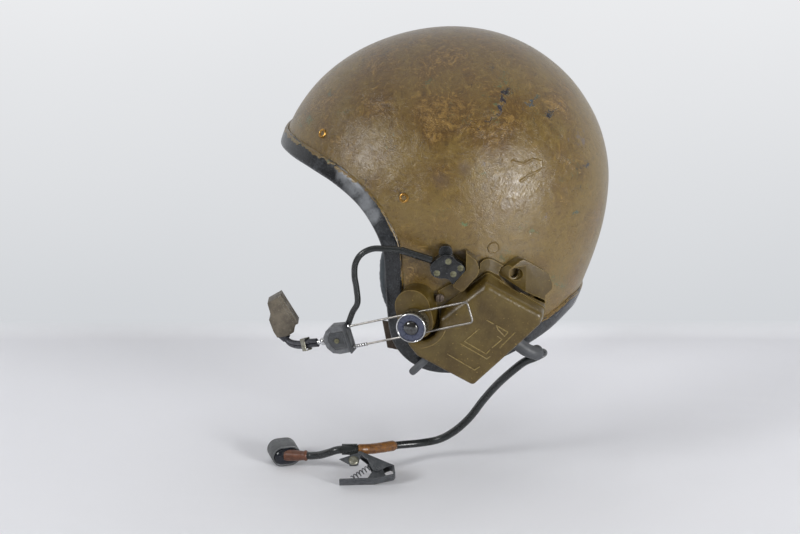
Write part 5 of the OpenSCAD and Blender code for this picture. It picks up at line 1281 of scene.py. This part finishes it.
STEM = [BOOM @ Vector((-82.6, 0.8, 0)), (114.8, -103.5, -63.2), (110, -108.5, -66),
        (104, -113.8, -68.8), (97.5, -119.2, -70.5), (91.8, -123.4, -70.6), (88.2, -126.2, -68.3)]
STEM_UP = [(0.09, -0.32, 0.94), (0.03, -0.43, 0.9), (0, -0.47, 0.88), (0.04, -0.43, 0.9),
           (0.15, -0.35, 0.93), (0.38, -0.16, 0.91), (0.78, 0.47, 0.42)]
rods = [strand(route([Vector(p) + s * 1.9 * Vector(u) for p, u in zip(STEM, STEM_UP)], 0, 6, 10),
               1.8, 18) for s in (-1, 1)]
joined("mic_rods", rods, ROD_RUBBER, "microphone", "mic_plastic", ["mic_stem"], 60)
refine("mic_clip_band", BAND_METAL, 0.3)
refine("mic_boot", ROD_RUBBER, 0.5)
refine("mic_body", MIC_PAINT, 0.7, 20, 3)
refine("mic_plate", MIC_PAINT, 0.4)

# ---------------------------------------------------------------- clip and connector

refine("clip_band", CORD_RUBBER, 0.3)
refine("clip_rivet", BAND_METAL, 0.25)
refine("clip_arm", CLIP_STEEL, 0.25)
refine("clip_pin", CLIP_STEEL, 0.2)
refine("clip_jaw", CLIP_STEEL, 0.25)
spring_a, spring_b = Vector((-8.2, -13.2, 0)), Vector((10.4, 0.6, 0))
TURNS, PER_TURN, COIL_R = 8, 16, 2.15
way = (spring_b - spring_a).normalized()
sideways = Vector((-way.y, way.x, 0))
coil = []
for i in range(TURNS * PER_TURN + 1):
    a = 2 * math.pi * i / PER_TURN
    coil.append(CLIP @ (spring_a + (spring_b - spring_a) * i / (TURNS * PER_TURN)
                        + COIL_R * (sideways * math.cos(a) + Vector((0, 0, math.sin(a))))))
spring = tube("clip_coil_spring", coil, 0.45, 10, CLIP_STEEL, None, "clip_steel", ["clip_spring"])
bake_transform(spring)

refine("connector_shroud", CON_METAL, 0.5)
INSERT_HALF, INSERT_R = 12.5, 9
# the insert is a dome with straight sides between two round ends
insert = []
for inset, z in ((9.5, 2.8), (8, 3.3), (6, 3.2), (4, 2.6), (2.4, 1.6), (1.95, 0.4), (1.95, -2.6),
                 (1.95, -8.6)):
    half = max(INSERT_HALF - inset, 1.4)
    r = max(min(half, INSERT_R - inset), 0.8)
    insert.append([CONNECTOR @ Vector(((half - r) * (1 if c > 0 else -1) + r * c, r * s, z))
                   for c, s in spokes(64)])
rings_piece("connector_domed_insert", insert, CON_INSERT, "helmet", "con_insert",
            ["connector_body"])
refine("connector_pins", PIN_GOLD, 0.15)

# ---------------------------------------------------------------- table and backdrop

WALL_X, BEND_R, WALL_TOP, FAR_X, SHEET_HALF, SHEET_COLUMNS = -0.3, 0.04, 2.4, 3.0, 3, 13
profile = [(x, FLOOR) for x in (3.2, 1.5, 0.5, 0.0, WALL_X + BEND_R)]
profile += [(WALL_X + BEND_R * (1 - math.sin(a)), FLOOR + BEND_R * (1 - math.cos(a)))
            for a in (math.radians(turn) for turn in range(10, 91, 10))]
profile += [(WALL_X, 1.0), (WALL_X, WALL_TOP)]
# the same table behind the wall, joined to nothing
profile += [(WALL_X, FLOOR - 0.0005), (-FAR_X, FLOOR - 0.0005)]
points = [Vector((x, -SHEET_HALF + 2 * SHEET_HALF * i / (SHEET_COLUMNS - 1), z)) / MM
          for x, z in profile for i in range(SHEET_COLUMNS)]
faces = []
for i in range(len(profile) - 1):
    if i != len(profile) - 3:
        faces += band_faces(i * SHEET_COLUMNS, (i + 1) * SHEET_COLUMNS, SHEET_COLUMNS, False)
backdrop = piece("backdrop", points, faces, backdrop_cloth(), None, None)

world = bpy.data.worlds.new("studio")
scene.world = world
world.use_nodes = True
sky = world.node_tree.nodes["Background"]
sky.inputs["Color"].default_value = ink("f3f1ec")
sky.inputs["Strength"].default_value = 0.24
